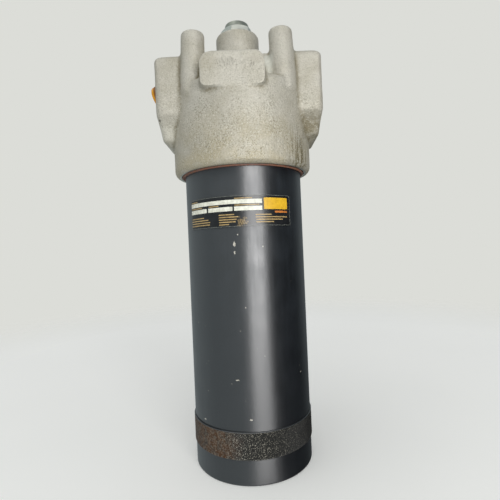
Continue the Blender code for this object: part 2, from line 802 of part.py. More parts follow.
def make_element_seal():
    radius = SPIGOT_RADIUS + ELEMENT_SEAL_GROOVE / 2
    height = CAP_Z + ELEMENT_SEAL_HEIGHT + FIT + element_seal_section()
    return o_ring("element_o_ring", radius, element_seal_section(), height, ELEMENT_STEPS)


def make_core(helpers):
    """The tube that keeps the pleats from collapsing, with rows of staggered holes."""
    bottom, top = MEDIA_BOTTOM_Z, MEDIA_TOP_Z
    core = turned(
        "element_core",
        [
            (CORE_RADIUS, top),
            (CORE_RADIUS, bottom),
            (CORE_RADIUS - CORE_WALL, bottom),
            (CORE_RADIUS - CORE_WALL, top),
        ],
        ELEMENT_STEPS,
    )
    drills = []
    pitch = (top - bottom) / CORE_HOLE_ROWS
    for row in range(CORE_HOLE_ROWS):
        height = bottom + (row + 0.5) * pitch
        for across in range(CORE_HOLES_ACROSS):
            angle = math.pi * (across + 0.25 + 0.5 * (row % 2)) / CORE_HOLES_ACROSS
            reach = Vector((math.cos(angle), math.sin(angle), 0)) * (CORE_RADIUS + CORE_WALL)
            middle = Vector((0, 0, height))
            name = f"core_drill_{row}_{across}"
            drills.append(rod(name, CORE_HOLE_RADIUS, middle - reach, middle + reach, HEX_SIDES))
    drill = joined("core_drills", drills)
    combine(core, [drill], "DIFFERENCE", helpers)
    core.modifiers[-1].use_self = True
    return settle(core)


def joined(name, things):
    """One object out of several, all in world space."""
    shape = bmesh.new()
    for thing in things:
        bpy.context.view_layer.update()
        before = len(shape.verts)
        shape.from_mesh(thing.data)
        shape.verts.ensure_lookup_table()
        bmesh.ops.transform(shape, matrix=thing.matrix_world, verts=shape.verts[before:])
        bpy.data.objects.remove(thing, do_unlink=True)
    return object_from_bmesh(name, shape)


def make_media():
    """The filter sheet: one strip folded into pleats, closed into a ring."""
    inner = CORE_RADIUS + PLEAT_CLEARANCE
    outer = ELEMENT_RADIUS - CAP_SHEET - PLEAT_CLEARANCE
    fold = 2 * math.pi / PLEATS
    inner_bend = inner * fold / 4
    outer_bend = 1.4 * inner_bend
    points = []
    for pleat in range(PLEATS):
        for middle, bend, tip, out in (
            (pleat * fold, inner_bend, inner, 1),
            ((pleat + 0.5) * fold, outer_bend, outer, -1),
        ):
            for across in (-1, 0, 1):
                radius = tip + out * bend * abs(across)
                angle = middle + across * bend / radius
                points.append((radius * math.cos(angle), radius * math.sin(angle)))
    shape = bmesh.new()
    lower = [shape.verts.new((x, y, MEDIA_BOTTOM_Z)) for x, y in points]
    upper = [shape.verts.new((x, y, MEDIA_TOP_Z)) for x, y in points]
    for index in range(len(points)):
        after = (index + 1) % len(points)
        shape.faces.new((lower[index], lower[after], upper[after], upper[index]))
    media = object_from_bmesh("element_media", shape)
    sheet = media.modifiers.new("Sheet", "SOLIDIFY")
    sheet.thickness = PLEAT_SHEET
    sheet.offset = 0
    return settle(media)


def make_spring_plate():
    """The pressed cup between the spring and the element."""
    top = ELEMENT_BOTTOM - FIT
    bottom = top - CAP_SHEET
    profile = [
        (SPRING_PLATE_RADIUS, top),
        (SPRING_PLATE_RADIUS, top - SPRING_PLATE_RIM),
        (SPRING_PLATE_RADIUS - CAP_SHEET, top - SPRING_PLATE_RIM),
        (SPRING_PLATE_RADIUS - CAP_SHEET, bottom),
        (0, bottom),
        (0, top),
    ]
    return settle(closed_turned("spring_plate", profile, SMALL_STEPS))


def make_element_spring():
    top = ELEMENT_BOTTOM - CAP_SHEET - 2 * FIT
    return coil(
        "element_spring", SPRING_RADIUS, SPRING_WIRE, BOWL_FLOOR + FIT, top, SPRING_TURNS
    )


def make_valve_body(helpers):
    """The bypass cartridge: a flanged tube with its seat at the top and four windows under it."""
    flange_z = POCKET_Z + FIT
    flange_top = flange_z + VALVE_FLANGE
    snap_z = VALVE_END_Z + 2 * SNAP_WIRE
    groove = VALVE_BORE + SNAP_GROOVE
    profile = [
        (POCKET_RADIUS - FIT, flange_top),
        (POCKET_RADIUS - FIT, flange_z),
        (VALVE_TUBE_RADIUS, flange_z),
        (VALVE_TUBE_RADIUS, VALVE_END_Z),
        (VALVE_BORE, VALVE_END_Z),
        (VALVE_BORE, snap_z - SNAP_WIRE - FIT),
        (groove, snap_z - SNAP_WIRE - FIT),
        (groove, snap_z + SNAP_WIRE + FIT),
        (VALVE_BORE, snap_z + SNAP_WIRE + FIT),
        (VALVE_BORE, WEB_Z),
        (VALVE_SEAT_RADIUS, WEB_Z),
        (VALVE_SEAT_RADIUS, flange_top),
    ]
    body = turned("bypass_body", profile, SMALL_STEPS)
    window_z = WEB_Z - FIT - VALVE_WINDOW_HEIGHT / 2
    windows = []
    for index in range(2):
        shape = bmesh.new()
        bmesh.ops.create_cube(shape, size=1)
        size = Matrix.Diagonal((4 * VALVE_TUBE_RADIUS, VALVE_WINDOW_WIDTH, VALVE_WINDOW_HEIGHT))
        bmesh.ops.transform(shape, matrix=size.to_4x4(), verts=shape.verts)
        window = object_from_bmesh(f"valve_window_{index}", shape, (0, 0, window_z))
        window.rotation_euler.z = math.pi / 4 + index * math.pi / 2
        windows.append(window)
    combine(body, windows, "DIFFERENCE", helpers)
    return settle(body)


def make_poppet():
    """The bypass poppet: a disc whose nose stands in the seat, on a guide stem."""
    face = WEB_Z - FIT
    disc = VALVE_BORE - RETAINER_CLEARANCE
    nose = VALVE_SEAT_RADIUS - FIT
    profile = [
        (0, face + POPPET_NOSE),
        (nose / 2, face + POPPET_NOSE),
        (nose, face),
        (disc, face),
        (disc, face - POPPET_THICKNESS),
        (POPPET_STEM_RADIUS, face - POPPET_THICKNESS),
        (POPPET_STEM_RADIUS, VALVE_END_Z - POPPET_STEM_PAST),
        (0, VALVE_END_Z - POPPET_STEM_PAST),
    ]
    return settle(turned("bypass_poppet", profile, SMALL_STEPS))


def make_valve_small_parts():
    """The poppet's spring, the plate it stands on, and the ring that holds the plate in."""
    snap_z = VALVE_END_Z + 2 * SNAP_WIRE
    plate_bottom = snap_z + SNAP_WIRE + FIT
    plate_top = plate_bottom + RETAINER_THICKNESS
    plate = ring(
        "bypass_retainer",
        POPPET_STEM_RADIUS + RETAINER_CLEARANCE,
        VALVE_BORE - FIT,
        plate_bottom,
        plate_top,
        SMALL_STEPS,
    )
    spring = coil(
        "bypass_spring",
        VALVE_SPRING_RADIUS,
        VALVE_SPRING_WIRE,
        plate_top + FIT,
        WEB_Z - 2 * FIT - POPPET_THICKNESS,
        VALVE_SPRING_TURNS,
        8,
    )
    snap = snap_ring("bypass_snap_ring", VALVE_BORE + SNAP_GROOVE - FIT - SNAP_WIRE, snap_z)
    return plate, spring, snap


def snap_ring(name, radius, height):
    """A round-wire ring with a gap, sprung into its groove."""
    steps = 20
    gap = math.radians(40)
    curve = bpy.data.curves.new(name, "CURVE")
    curve.dimensions = "3D"
    curve.bevel_depth = SNAP_WIRE
    curve.bevel_resolution = 1
    curve.use_fill_caps = True
    spline = curve.splines.new("POLY")
    spline.points.add(steps)
    for index in range(steps + 1):
        angle = gap / 2 + (2 * math.pi - gap) * index / steps
        spline.points[index].co = (radius * math.cos(angle), radius * math.sin(angle), height, 1)
    thing = bpy.data.objects.new(name, curve)
    bpy.context.scene.collection.objects.link(thing)
    return settle(thing)


def dress(things, material, collection, parent):
    """Gives the pieces their material and puts them in the collection, under their carrier."""
    for thing in things:
        thing.data.materials.clear()
        thing.data.materials.append(material)
        for old in list(thing.users_collection):
            old.objects.unlink(thing)
        collection.objects.link(thing)
        matrix = thing.matrix_world.copy()
        thing.parent = parent
        thing.matrix_world = matrix


def carrier(name, location, collection, parent=None):
    """An empty on a joint's axis."""
    empty = bpy.data.objects.new(name, None)
    collection.objects.link(empty)
    empty.location = location
    empty.parent = parent
    return empty


def main():
    clear_scene()
    filter_parts = new_collection("hydraulic_pressure_filter")
    helpers = new_collection("cutters_and_cores")

    cast = new_material("cast_aluminium", (0.50, 0.48, 0.42), 0.6, 0.3)
    black = new_material("black_paint", (0.035, 0.040, 0.045), 0.35, 0.0)
    steel = new_material("zinc_plated_steel", (0.62, 0.64, 0.64), 0.35, 1.0)
    plastic = new_material("orange_plastic", (0.80, 0.36, 0.02), 0.4, 0.0)
    brown = new_material("brown_wiper_rubber", (0.26, 0.12, 0.07), 0.6, 0.0)
    rubber = new_material("black_rubber", (0.02, 0.02, 0.02), 0.6, 0.0)
    resin = new_material("white_backup_plastic", (0.75, 0.73, 0.66), 0.5, 0.0)
    paper = new_material("glass_fibre_media", (0.72, 0.70, 0.60), 0.9, 0.0)
    label = new_material("label_film", (0.03, 0.03, 0.03), 0.35, 0.0)

    head_base = carrier("head_axis", (0, 0, RIM_Z), filter_parts)
    lift = carrier("bowl_lift_axis", (0, 0, 0), filter_parts, head_base)
    bowl_base = carrier("bowl_axis", (0, 0, 0), filter_parts, lift)
    valve_base = carrier("bypass_axis", (0, 0, WEB_Z - RIM_Z), filter_parts, head_base)
    port_base = carrier("left_port_axis", (-PORT_FACE, 0, PORT_HEIGHT), filter_parts, head_base)
    bpy.context.view_layer.update()

    plate, valve_spring, snap = make_valve_small_parts()
    seal, backup = make_bowl_seals()
    dress([make_head(helpers)], cast, filter_parts, head_base)
    dress([make_top_plug(helpers)], steel, filter_parts, head_base)
    dress([make_top_plug_seal(), make_element_seal()], rubber, filter_parts, head_base)
    dress([make_dust_ring()], brown, filter_parts, head_base)
    dress([make_valve_body(helpers), plate, valve_spring, snap], steel, filter_parts, head_base)
    dress([*make_element_caps(), make_core(helpers)], steel, filter_parts, head_base)
    dress([make_media()], paper, filter_parts, head_base)
    dress([make_poppet()], steel, filter_parts, valve_base)
    dress([make_port_plug()], plastic, filter_parts, port_base)
    dress([make_spring_plate(), make_element_spring()], steel, filter_parts, lift)
    dress([make_bowl()], black, filter_parts, bowl_base)
    dress([make_label()], label, filter_parts, bowl_base)
    dress([seal], rubber, filter_parts, bowl_base)
    dress([backup], resin, filter_parts, bowl_base)


main()
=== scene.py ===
"""Hydraulic pressure filter: the fine casting, knurl, threads, label and the finish of every surface.

Sizes are in metres. Z runs up the filter's axis from the bowl's flat end and -Y is the front.
"""

import json
import math

import bpy
import numpy as np
from bpy.props import FloatProperty, FloatVectorProperty, IntProperty, PointerProperty
from mathutils import Matrix, Vector, noise


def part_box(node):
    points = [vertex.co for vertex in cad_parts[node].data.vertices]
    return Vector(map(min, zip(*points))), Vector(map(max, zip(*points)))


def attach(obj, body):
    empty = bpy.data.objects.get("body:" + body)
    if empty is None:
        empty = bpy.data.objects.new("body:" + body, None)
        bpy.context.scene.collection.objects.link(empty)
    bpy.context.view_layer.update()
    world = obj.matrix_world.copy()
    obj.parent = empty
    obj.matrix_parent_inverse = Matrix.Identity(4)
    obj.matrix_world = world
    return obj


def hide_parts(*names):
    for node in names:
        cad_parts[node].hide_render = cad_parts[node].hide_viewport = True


bl_info = {
    "name": "Hydraulic Pressure Filter",
    "version": (1, 0, 0),
    "blender": (4, 5, 0),
    "location": "View3D > Sidebar > Filter",
    "description": "A cast-head pressure filter with a screwed steel bowl, and a stage to see it on",
    "category": "Add Mesh",
}

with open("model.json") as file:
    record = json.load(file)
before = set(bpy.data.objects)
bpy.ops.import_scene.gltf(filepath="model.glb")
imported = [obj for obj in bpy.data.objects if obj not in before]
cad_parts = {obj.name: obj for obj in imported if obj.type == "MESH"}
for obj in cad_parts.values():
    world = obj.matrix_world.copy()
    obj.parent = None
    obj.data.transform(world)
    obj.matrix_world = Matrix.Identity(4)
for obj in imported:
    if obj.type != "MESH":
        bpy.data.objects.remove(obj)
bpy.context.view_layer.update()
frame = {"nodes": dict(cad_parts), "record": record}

# Places that the frame gives
HEAD_LOW, HEAD_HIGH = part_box("filter_head")
BOWL_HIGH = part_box("filter_bowl")[1]
RING_LOW, RING_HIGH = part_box("dust_ring")
LABEL_LOW, LABEL_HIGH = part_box("data_label")
PLUG_LOW, PLUG_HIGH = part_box("top_plug")
PORT_PLUG_LOW, PORT_PLUG_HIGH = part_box("port_plug")
MOUNTS = {mount["name"]: Vector(mount["pos_m"]) for mount in frame["record"]["mounts"]}
RIM_Z = HEAD_LOW.z
BOSS_TOP_Z = HEAD_HIGH.z
PORT_FACE = HEAD_HIGH.x
PORT_Z = MOUNTS["outlet_port_face"].z
POST_TOP_Z = MOUNTS["post_front_right"].z
POST_SPREAD = MOUNTS["post_front_right"].x

MM = 0.001
# The film as the photo shows it: a little lower and taller than its solid
LABEL_TOP_Z = LABEL_HIGH.z - 0.5 * MM
LABEL_TALL = LABEL_HIGH.z - LABEL_LOW.z + 0.9 * MM
FULL_TURN = 2 * math.pi


def linear(code):
    """A hex colour in sRGB as the linear values that a shader works in."""
    values = [int(code[place : place + 2], 16) / 255 for place in (1, 3, 5)]
    return [v / 12.92 if v <= 0.04045 else ((v + 0.055) / 1.055) ** 2.4 for v in values]


def length(name, description, default):
    return FloatProperty(
        name=name, description=description, default=default, unit="LENGTH", precision=5
    )


def colour(name, description, code):
    return FloatVectorProperty(
        name=name, description=description, default=linear(code), subtype="COLOR", min=0, max=1
    )


class CastHeadSettings(bpy.types.PropertyGroup):
    """Sizes and colours of the cast head."""

    remesh: length("Surface mesh", "Edge length of the mesh of the cast skin", 0.00113)
    body_radius: length("Body radius", "Radius of the round lower body", 0.0586)
    body_height: length("Body height", "From the rim to the top of the shoulder", 0.068)
    shoulder_round: length("Shoulder round", "Radius round the shoulder's edge", 0.0038)
    rim_round: length("Rim round", "Radius round the rim's outer edge", 0.0050)
    block_height: length("Block height", "From the rim to the top of the block", 0.0930)
    block_half_width: length("Block half width", "From the axis to the block's front", 0.0325)
    boss_half_width: length("Port boss half width", "From the port's axis to the boss's front", 0.0355)
    boss_taper: length("Boss taper height", "Where the boss's underside starts to slope", 0.044)
    boss_knee: length("Boss knee height", "Where the underside turns in to the body", 0.0285)
    boss_knee_reach: length("Boss knee reach", "From the axis to the knee", 0.0645)
    boss_knee_half_width: length("Boss knee half width", "Half the width of the knee", 0.0240)
    boss_foot: length("Boss foot height", "Where the boss's underside meets the body", 0.0240)
    boss_foot_half_width: length("Boss foot half width", "Half the width of the foot", 0.0145)
    corner_round: length("Corner round", "Radius of the cast corners", 0.0046)
    post_radius: length("Post radius", "Radius of a mounting post near its top", 0.0092)
    post_draft: length("Post draft", "How much wider a post is at its foot", 0.0006)
    post_lean: length("Post lean", "How far a post's foot stands outside its top", 0.0009)
    post_round: length("Post round", "Radius round a post's top edge", 0.0022)
    pad_left: length("Pad left", "Left edge of the front pad", -0.0278)
    pad_right: length("Pad right", "Right edge of the front pad", 0.0205)
    pad_bottom: length("Pad bottom", "Height of the pad's lower edge over the rim", 0.0568)
    pad_top: length("Pad top", "Height of the pad's upper edge over the rim", 0.0824)
    pad_lean: length("Pad lean", "How far the pad falls back towards its lower edge", 0.0008)
    boss_radius: length("Top boss radius", "Radius of the boss that holds the plug", 0.0187)
    bore_radius: length("Port bore radius", "Radius of a port at its thread's crests", 0.0102)
    port_pitch: length("Port thread pitch", "Pitch of the thread in the ports", 0.0016)
    fillet_passes: IntProperty(
        name="Fillet passes", description="How far the hollow corners are filled", default=9
    )
    skin: colour("Skin", "Shot-blasted cast aluminium", "#BDB9AD")
    skin_dull: colour("Dull skin", "The same, oxidised in patches", "#A39D8B")
    warm: colour("Warm skin", "Handled and oily skin near the rim", "#B2A686")
    # Oil stains low on the right, and painted shade in hollow corners
    dirt_and_corner_shade: colour("Dirt", "Oil and dust in corners and low on the right", "#716749")
    # Rubbed corners and bright flakes, also painted highlights on convex edges and painted light under
    # the left boss
    edge: colour("Rubbed edge", "Corners rubbed bright in handling", "#D2CFC2")
    machined: colour("Machined", "Turned and milled faces", "#C9C8BD")
    pits: colour("Pits", "Small pits of the blasting", "#6F6A57")
    scuffs: colour("Scuffs", "Scuffed places on the pad", "#5F5B4E")
    # Painted light in the hollow beside the pad
    clean: colour("Clean skin", "The sheltered hollow beside the pad", "#D6D8CE")
    # Painted shade of a casting hole on the left boss
    hole: colour("Hole", "A casting hole on the left boss", "#2B2822")


class BowlSettings(bpy.types.PropertyGroup):
    """Sizes and colours of the bowl and the dust ring."""

    radius: length("Radius", "Outside radius of the bowl", 0.050)
    wall: length("Wall", "Thickness of the bowl's wall", 0.006)
    floor: length("Floor", "Thickness of the bowl's closed end", 0.012)
    end_round: length("End round", "Radius round the closed end", 0.0016)
    band_bottom: length("Band bottom", "Height of the knurled band's lower edge", 0.0200)
    band_height: length("Band height", "Height of the knurled band", 0.0211)
    band_raise: length("Band raise", "How far the band stands proud", 0.0009)
    knurl_depth: length("Knurl depth", "Depth of the knurl's diamonds", 0.00045)
    knurl_count: IntProperty(name="Knurl count", description="Diamonds round the band", default=240)
    thread_pitch: length("Thread pitch", "Pitch of the bowl's thread", 0.003)
    thread_depth: length("Thread depth", "Depth of the bowl's thread", 0.0014)
    thread_bottom: length("Thread bottom", "Height where the thread starts", 0.247)
    thread_top: length("Thread top", "Height where the sealing nose starts", 0.266)
    nose_radius: length("Nose radius", "Radius of the plain sealing nose", 0.0486)
    paint: colour("Paint", "Black enamel", "#080A0F")
    dust: colour("Dust", "Dust and haze on the paint", "#647280")
    bare: colour("Bare steel", "Steel where the paint has chipped", "#B9B4A6")
    rust: colour("Rust", "Brown rust on the band", "#4B3320")
    band: colour("Band", "Dark steel of the knurl", "#2D2D2B")
    # Painted shade: the band is painted darker towards the right
    band_painted_shade: colour("Band shade", "The same, dirtier on the right", "#141414")
    ring: colour("Ring", "Red-brown wiper ring", "#8A5A41")


class LabelSettings(bpy.types.PropertyGroup):
    """Sizes and colours of the data label, whose fields are blank."""

    start: FloatProperty(
        name="Start", description="Left end, round from the front",
        default=math.radians(-57), subtype="ANGLE",
    )
    end: FloatProperty(
        name="End", description="Right end, round from the front",
        default=math.radians(46), subtype="ANGLE",
    )
    sheet: length("Sheet", "Thickness of the film", 0.00025)
    ink: length("Ink", "Thickness of the print", 0.00004)
    film: colour("Film", "Black film", "#17181A")
    film_mottle: colour("Film mottle", "The same, where it is dull", "#3A3C3E")
    white: colour("White", "White fields", "#E9EADB")
    yellow: colour("Yellow", "Yellow block", "#E3B52A")
    orange: colour("Orange", "Orange bar", "#C97A35")
    tan: colour("Tan", "Small bars", "#B59A66")
    line: colour("Line", "Thin border", "#83867F")


class FittingSettings(bpy.types.PropertyGroup):
    """Sizes and colours of the two plugs and of the pieces inside."""

    hex_flats: length("Hexagon", "Across the flats of the top plug", 0.0251)
    hex_height: length("Hexagon height", "Height of the hexagon", 0.007)
    crown_radius: length("Crown radius", "Radius of the top plug's crown", 0.0104)
    socket_radius: length("Socket radius", "Across the corners of the key socket, halved", 0.0046)
    port_flange: length("Port plug flange", "Thickness of the plastic plug's flange", 0.0026)
    port_flange_inset: length("Port flange inset", "How much smaller than its clearance", 0.0015)
    port_plug_sunk: length("Port plug sunk", "How far the flange is pushed back in", 0.0042)
    port_plug_tilt: FloatProperty(
        name="Port plug tilt", description="How far its top leans out",
        default=math.radians(12), subtype="ANGLE",
    )
    port_plug_turn: FloatProperty(
        name="Port plug turn", description="How far its front stands out",
        default=math.radians(18), subtype="ANGLE",
    )
    zinc: colour("Zinc", "Zinc plating on steel", "#F2F0E6")
    zinc_dull: colour("Dull zinc", "The same, tarnished", "#C9CCBC")
    # A darker grey-green tone on the crown above the hexagon
    crown: colour("Crown", "Oily film on the top plug's crown", "#7B8070")
    plastic: colour("Plastic", "Orange polyethylene", "#E8A206")
    # Grime, and painted shade on the neck behind the flange
    plastic_shade: colour("Plastic shade", "The same, where it is grimy", "#763C00")
    rubber: colour("Rubber", "Nitrile rubber", "#161616")
    resin: colour("Resin", "White backing ring", "#DDD9C8")
    spring: colour("Spring", "Oiled spring steel", "#5B5C5D")
    sheet: colour("Sheet", "Tinned steel sheet of the element", "#B4B6B2")
    fibre: colour("Fibre", "Glass fibre filter sheet", "#DAD5BF")


class StageSettings(bpy.types.PropertyGroup):
    """The floor, the lamps and the camera."""

    backdrop: colour("Backdrop", "What stands behind the floor", "#DCDDD8")
    ground: colour("Floor", "Pale matt floor", "#F2F3EF")
    ground_mottle: colour("Floor mottle", "The same, a little duller in patches", "#DDDFDA")
    room: colour("Room", "The room that lights matt surfaces", "#EDEFF0")
    room_reflected: colour("Reflected room", "The cooler room that glossy surfaces see", "#C8D4D7")
    camera_distance: length("Camera distance", "From the filter's axis", 0.3356)
    camera_height: length("Camera height", "Above the floor", 0.1786)
    camera_aside: length("Camera aside", "To the right of the axis", 0.0034)
    lens: FloatProperty(
        name="Lens", description="Focal length", default=27.3, subtype="DISTANCE_CAMERA"
    )
    azimuth: FloatProperty(
        name="Azimuth", description="Round to the right", default=math.radians(0.4), subtype="ANGLE"
    )
    roll: FloatProperty(
        name="Roll", description="Lean of the filter to the left",
        default=math.radians(2.44), subtype="ANGLE",
    )


# Meshes


def arc(centre, radius, start, end, steps=8):
    """Points of an arc in the profile plane, from one angle in degrees to another."""
    angles = np.radians(np.linspace(start, end, steps + 1))
    return [(centre[0] + radius * math.cos(a), centre[1] + radius * math.sin(a)) for a in angles]


def stretch(start, end, step):
    """Heights from one to another at about this step, as points on one radius are built."""
    count = max(1, round(abs(end - start) / step))
    return np.linspace(start, end, count + 1)


def turned(profile, columns, relief=None, facets=(0, 0)):
    """Points and faces of a profile of (radius, height), run down its outer side and turned about Z.

    A profile whose ends meet makes a ring, and any other is capped. relief(row, column) is added to
    the radius. Rows inside facets are split into triangles that meet at the low points of a knurl.
    """
    rows = np.array(profile, float)
    closed = np.allclose(rows[0], rows[-1])
    if closed:
        rows = rows[:-1]
    row, column = np.meshgrid(np.arange(len(rows)), np.arange(columns), indexing="ij")
    radius = rows[row, 0] + (relief(row, column) if relief else 0)
    angle = FULL_TURN * column / columns
    points = np.stack([radius * np.cos(angle), radius * np.sin(angle), rows[row, 1]], -1)
    faces = []
    for i in range(len(rows) if closed else len(rows) - 1):
        low = (i + 1) % len(rows)
        for j in range(columns):
            k = (j + 1) % columns
            a, b, c, d = (i * columns + j, low * columns + j, low * columns + k, i * columns + k)
            if not facets[0] <= i < facets[1]:
                faces.append((a, b, c, d))
            elif (i + j) % 2:
                faces += [(a, b, d), (b, c, d)]
            else:
                faces += [(a, b, c), (a, c, d)]
    if not closed:
        faces.append(tuple(range(columns)))
        faces.append(tuple((len(rows) - 1) * columns + j for j in reversed(range(columns))))
    return points.reshape(-1, 3), faces


def lofted(outlines):
    """Points and faces through like outlines, each a list of points in space, from low to high."""
    count = len(outlines[0])
    points = np.array(outlines, float).reshape(-1, 3)
    faces = [tuple(reversed(range(count)))]
    for i in range(len(outlines) - 1):
        for j in range(count):
            k = (j + 1) % count
            faces.append((i * count + j, i * count + k, (i + 1) * count + k, (i + 1) * count + j))
    faces.append(tuple((len(outlines) - 1) * count + j for j in range(count)))
    return points, faces


def rounded(left, right, low, high, radii, steps=6):
    """A rectangle's outline with round corners, from the lower right corner anticlockwise."""
    corners = (
        (right, low, -1, 1, 270), (right, high, -1, -1, 0),
        (left, high, 1, -1, 90), (left, low, 1, 1, 180),
    )
    points = []
    for (x, y, to_x, to_y, start), radius in zip(corners, radii):
        points += arc((x + to_x * radius, y + to_y * radius), radius, start, start + 90, steps)
    return points


def placed(shape, matrix):
    """The same points and faces, moved by a matrix. A mirroring one turns the faces round."""
    points, faces = shape
    moved = np.array(points) @ np.array(matrix.to_3x3()).T + np.array(matrix.translation)
    if matrix.determinant() < 0:
        faces = [tuple(reversed(face)) for face in faces]
    return moved, faces


def solid(name, *shapes):
    """One object at the origin that holds these shapes."""
    points, faces, start = [], [], 0
    for shape_points, shape_faces in shapes:
        points += [tuple(point) for point in shape_points]
        faces += [tuple(start + index for index in face) for face in shape_faces]
        start += len(shape_points)
    mesh = bpy.data.meshes.new(name)
    mesh.from_pydata(points, [], faces)
    mesh.update()
    thing = bpy.data.objects.new(name, mesh)
    bpy.context.scene.collection.objects.link(thing)
    return thing


def settle(thing):
    """Turns the object's modifiers into its mesh."""
    bpy.context.view_layer.update()
    graph = bpy.context.evaluated_depsgraph_get()
    mesh = bpy.data.meshes.new_from_object(
        thing.evaluated_get(graph), preserve_all_data_layers=True, depsgraph=graph
    )
    thing.modifiers.clear()
    thing.data = mesh
    return thing


def cut(thing, cutters, operation="DIFFERENCE"):
    """Cuts the other solids from this one, or joins them, and removes them."""
    for cutter in cutters:
        boolean = thing.modifiers.new(cutter.name, "BOOLEAN")
        boolean.operation = operation
        boolean.solver = "MANIFOLD"
        boolean.material_mode = "TRANSFER"
        boolean.object = cutter
    settle(thing)
    if not thing.data.polygons:
        raise RuntimeError(f"cutting {thing.name} left nothing")
    for cutter in cutters:
        bpy.data.objects.remove(cutter, do_unlink=True)
    return thing


def finished(thing, materials, body, slot, *nodes, sharp=30):
    """Shades the piece, gives it its materials, and sets it on the body that carries it."""
    thing.data.shade_smooth()
    thing.data.set_sharp_from_angle(angle=math.radians(sharp))
    if materials:
        thing.data.materials.clear()
        for material in materials:
            thing.data.materials.append(material)
    if nodes:
        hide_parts(*nodes)
    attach(thing, body)
    return thing


def thread_wave(height, angle, pitch, start, end):
    """From 0 on a right-hand thread's crests to 1 at its roots, run out at both ends."""
    phase = (height / pitch - angle / FULL_TURN) % 1
    # Straight flanks between a flat crest and a flat root
    groove = np.clip(1.35 * (1 - 2 * np.abs(phase - 0.5)) - 0.2, 0, 1)
    fade = np.clip(np.minimum(height - start, end - height) / pitch, 0, 1)
    return groove * fade


def threaded_bore(radius, depth, pitch, reach, columns=64):
    """A cutter along +Z from a blind end at 0 to reach, with a thread that ends a pitch before."""
    heights = stretch(reach, 0, pitch / 6)
    profile = [(radius, height) for height in heights]

    def relief(row, column):
        angle = FULL_TURN * column / columns
        return depth * thread_wave(heights[row], angle, pitch, pitch, reach)

    return turned(profile, columns, relief)


# Materials

# Places of single marks: (across or round from the front, up, width, height) in millimetres
PAD_SCUFFS = ((-7.5, 316.5, 15, 7), (11.2, 314.5, 3.5, 4.5))
BOSS_NICKS = ((-61, 276.5, 6, 7),)
# A hole on the left boss whose shade is painted
BOSS_HOLE = ((-64.2, 285.1, 1.5, 1.8),)
# Painted light in the hollow beside the pad
PAINTED_LIGHT_HOLLOW = ((24, 321, 15, 22),)
LABEL_SCRATCHES = ((-1.7, 200, 7.5, 7),)
PAINT_CHIPS = (
    (-7.9, 183.6, 1.6, 3.4),
    (-7.9, 177.1, 1.0, 2.2),
    (-5.1, 190.5, 1.2, 0.8),
    (13.8, 180.9, 1.0, 1.0),
    (-9.8, 80.5, 2.4, 0.9),
    (-0.7, 50.5, 2.2, 0.9),
    (46.6, 79.1, 0.9, 0.9),
    (-42.5, 45.3, 2.2, 1.2),
)


def node(tree, kind, sockets=None, out=0, **settings):
    """Adds a shader node and returns one output. A socket takes a constant or another's output."""
    made = tree.nodes.new("ShaderNode" + kind)
    for name, value in settings.items():
        setattr(made, name, value)
    for name, value in (sockets or {}).items():
        socket = made.inputs[name]
        if isinstance(value, bpy.types.NodeSocket):
            tree.links.new(value, socket)
        elif socket.type == "RGBA":
            socket.default_value = (*value, 1)
        else:
            socket.default_value = value
    return made.outputs[out] if made.outputs else None


def per_mm(size):
    """The scale of a pattern whose features are this many millimetres across."""
    return 1 / (size * MM)


def new_material(name, base, roughness, metallic=0.0):
    """A Principled material, with its tree, its shader and the place on the piece in metres."""
    material = bpy.data.materials.new(name)
    material.use_nodes = True
    tree = material.node_tree
    shader = tree.nodes["Principled BSDF"]
    shader.inputs["Base Color"].default_value = (*base, 1)
    shader.inputs["Roughness"].default_value = roughness
    shader.inputs["Metallic"].default_value = metallic
    return material, tree, shader, node(tree, "TexCoord", out="Object")


def surface(tree, shader, base, layers, height, depth, strength):
    """Lays colours over the base in turn, each where its mask is white, and adds relief.

    The relief's depth is in millimetres.
    """
    for mask, shade in layers:
        base = node(tree, "Mix", {0: mask, 6: base, 7: shade}, out=2, data_type="RGBA")
    tree.links.new(base, shader.inputs["Base Color"])
    relief = node(tree, "Bump", {"Height": height, "Distance": depth * MM, "Strength": strength})
    tree.links.new(relief, shader.inputs["Normal"])


def product(tree, *masks):
    """Masks and constants multiplied together, so that each limits the others."""
    made = masks[0]
    for mask in masks[1:]:
        made = node(tree, "Math", {0: made, 1: mask}, operation="MULTIPLY")
    return made


def speckle(tree, place, size, low, high, detail=2.0):
    """A mask of spots of this size in millimetres, from black at low to white at high."""
    field = node(tree, "TexNoise", {"Vector": place, "Scale": per_mm(size), "Detail": detail})
    return node(tree, "MapRange", {"Value": field, "From Min": low, "From Max": high})


def ragged_edge(tree, place, size, reach):
    """What noise of this size in millimetres adds to the edge of a spot, or takes from it."""
    field = node(tree, "TexNoise", {"Vector": place, "Scale": per_mm(size), "Detail": 3.0})
    sockets = {"Value": field, "From Min": 0.3, "From Max": 0.7, "To Min": -reach, "To Max": reach}
    return node(tree, "MapRange", sockets)


def unrolled(tree, place, radius):
    """The surface of a cylinder laid flat: x is the way round from the front, y the height."""
    x, y, z = node(tree, "SeparateXYZ", {0: place}).node.outputs
    angle = node(tree, "Math", {0: x, 1: product(tree, y, -1.0)}, operation="ARCTAN2")
    return node(tree, "CombineXYZ", {0: product(tree, angle, radius), 1: z})


def spots(tree, flat, places, ragged):
    """A mask of ragged spots at these places on the flat surface, white inside."""
    mask = 0.0
    for across, up, width, tall in places:
        centre = (-across * MM, -up * MM, 0)
        moved = node(tree, "VectorMath", {0: flat, 1: centre}, operation="ADD")
        scale = (2 / (width * MM), 2 / (tall * MM), 0)
        scaled = node(tree, "VectorMath", {0: moved, 1: scale}, operation="MULTIPLY")
        far = node(tree, "VectorMath", {0: scaled}, out="Value", operation="LENGTH")
        edge = node(tree, "Math", {0: far, 1: ragged}, operation="ADD")
        inside = node(tree, "MapRange", {"Value": edge, "From Min": 1.1, "From Max": 0.9})
        mask = node(tree, "Math", {0: mask, 1: inside}, operation="MAXIMUM")
    return mask


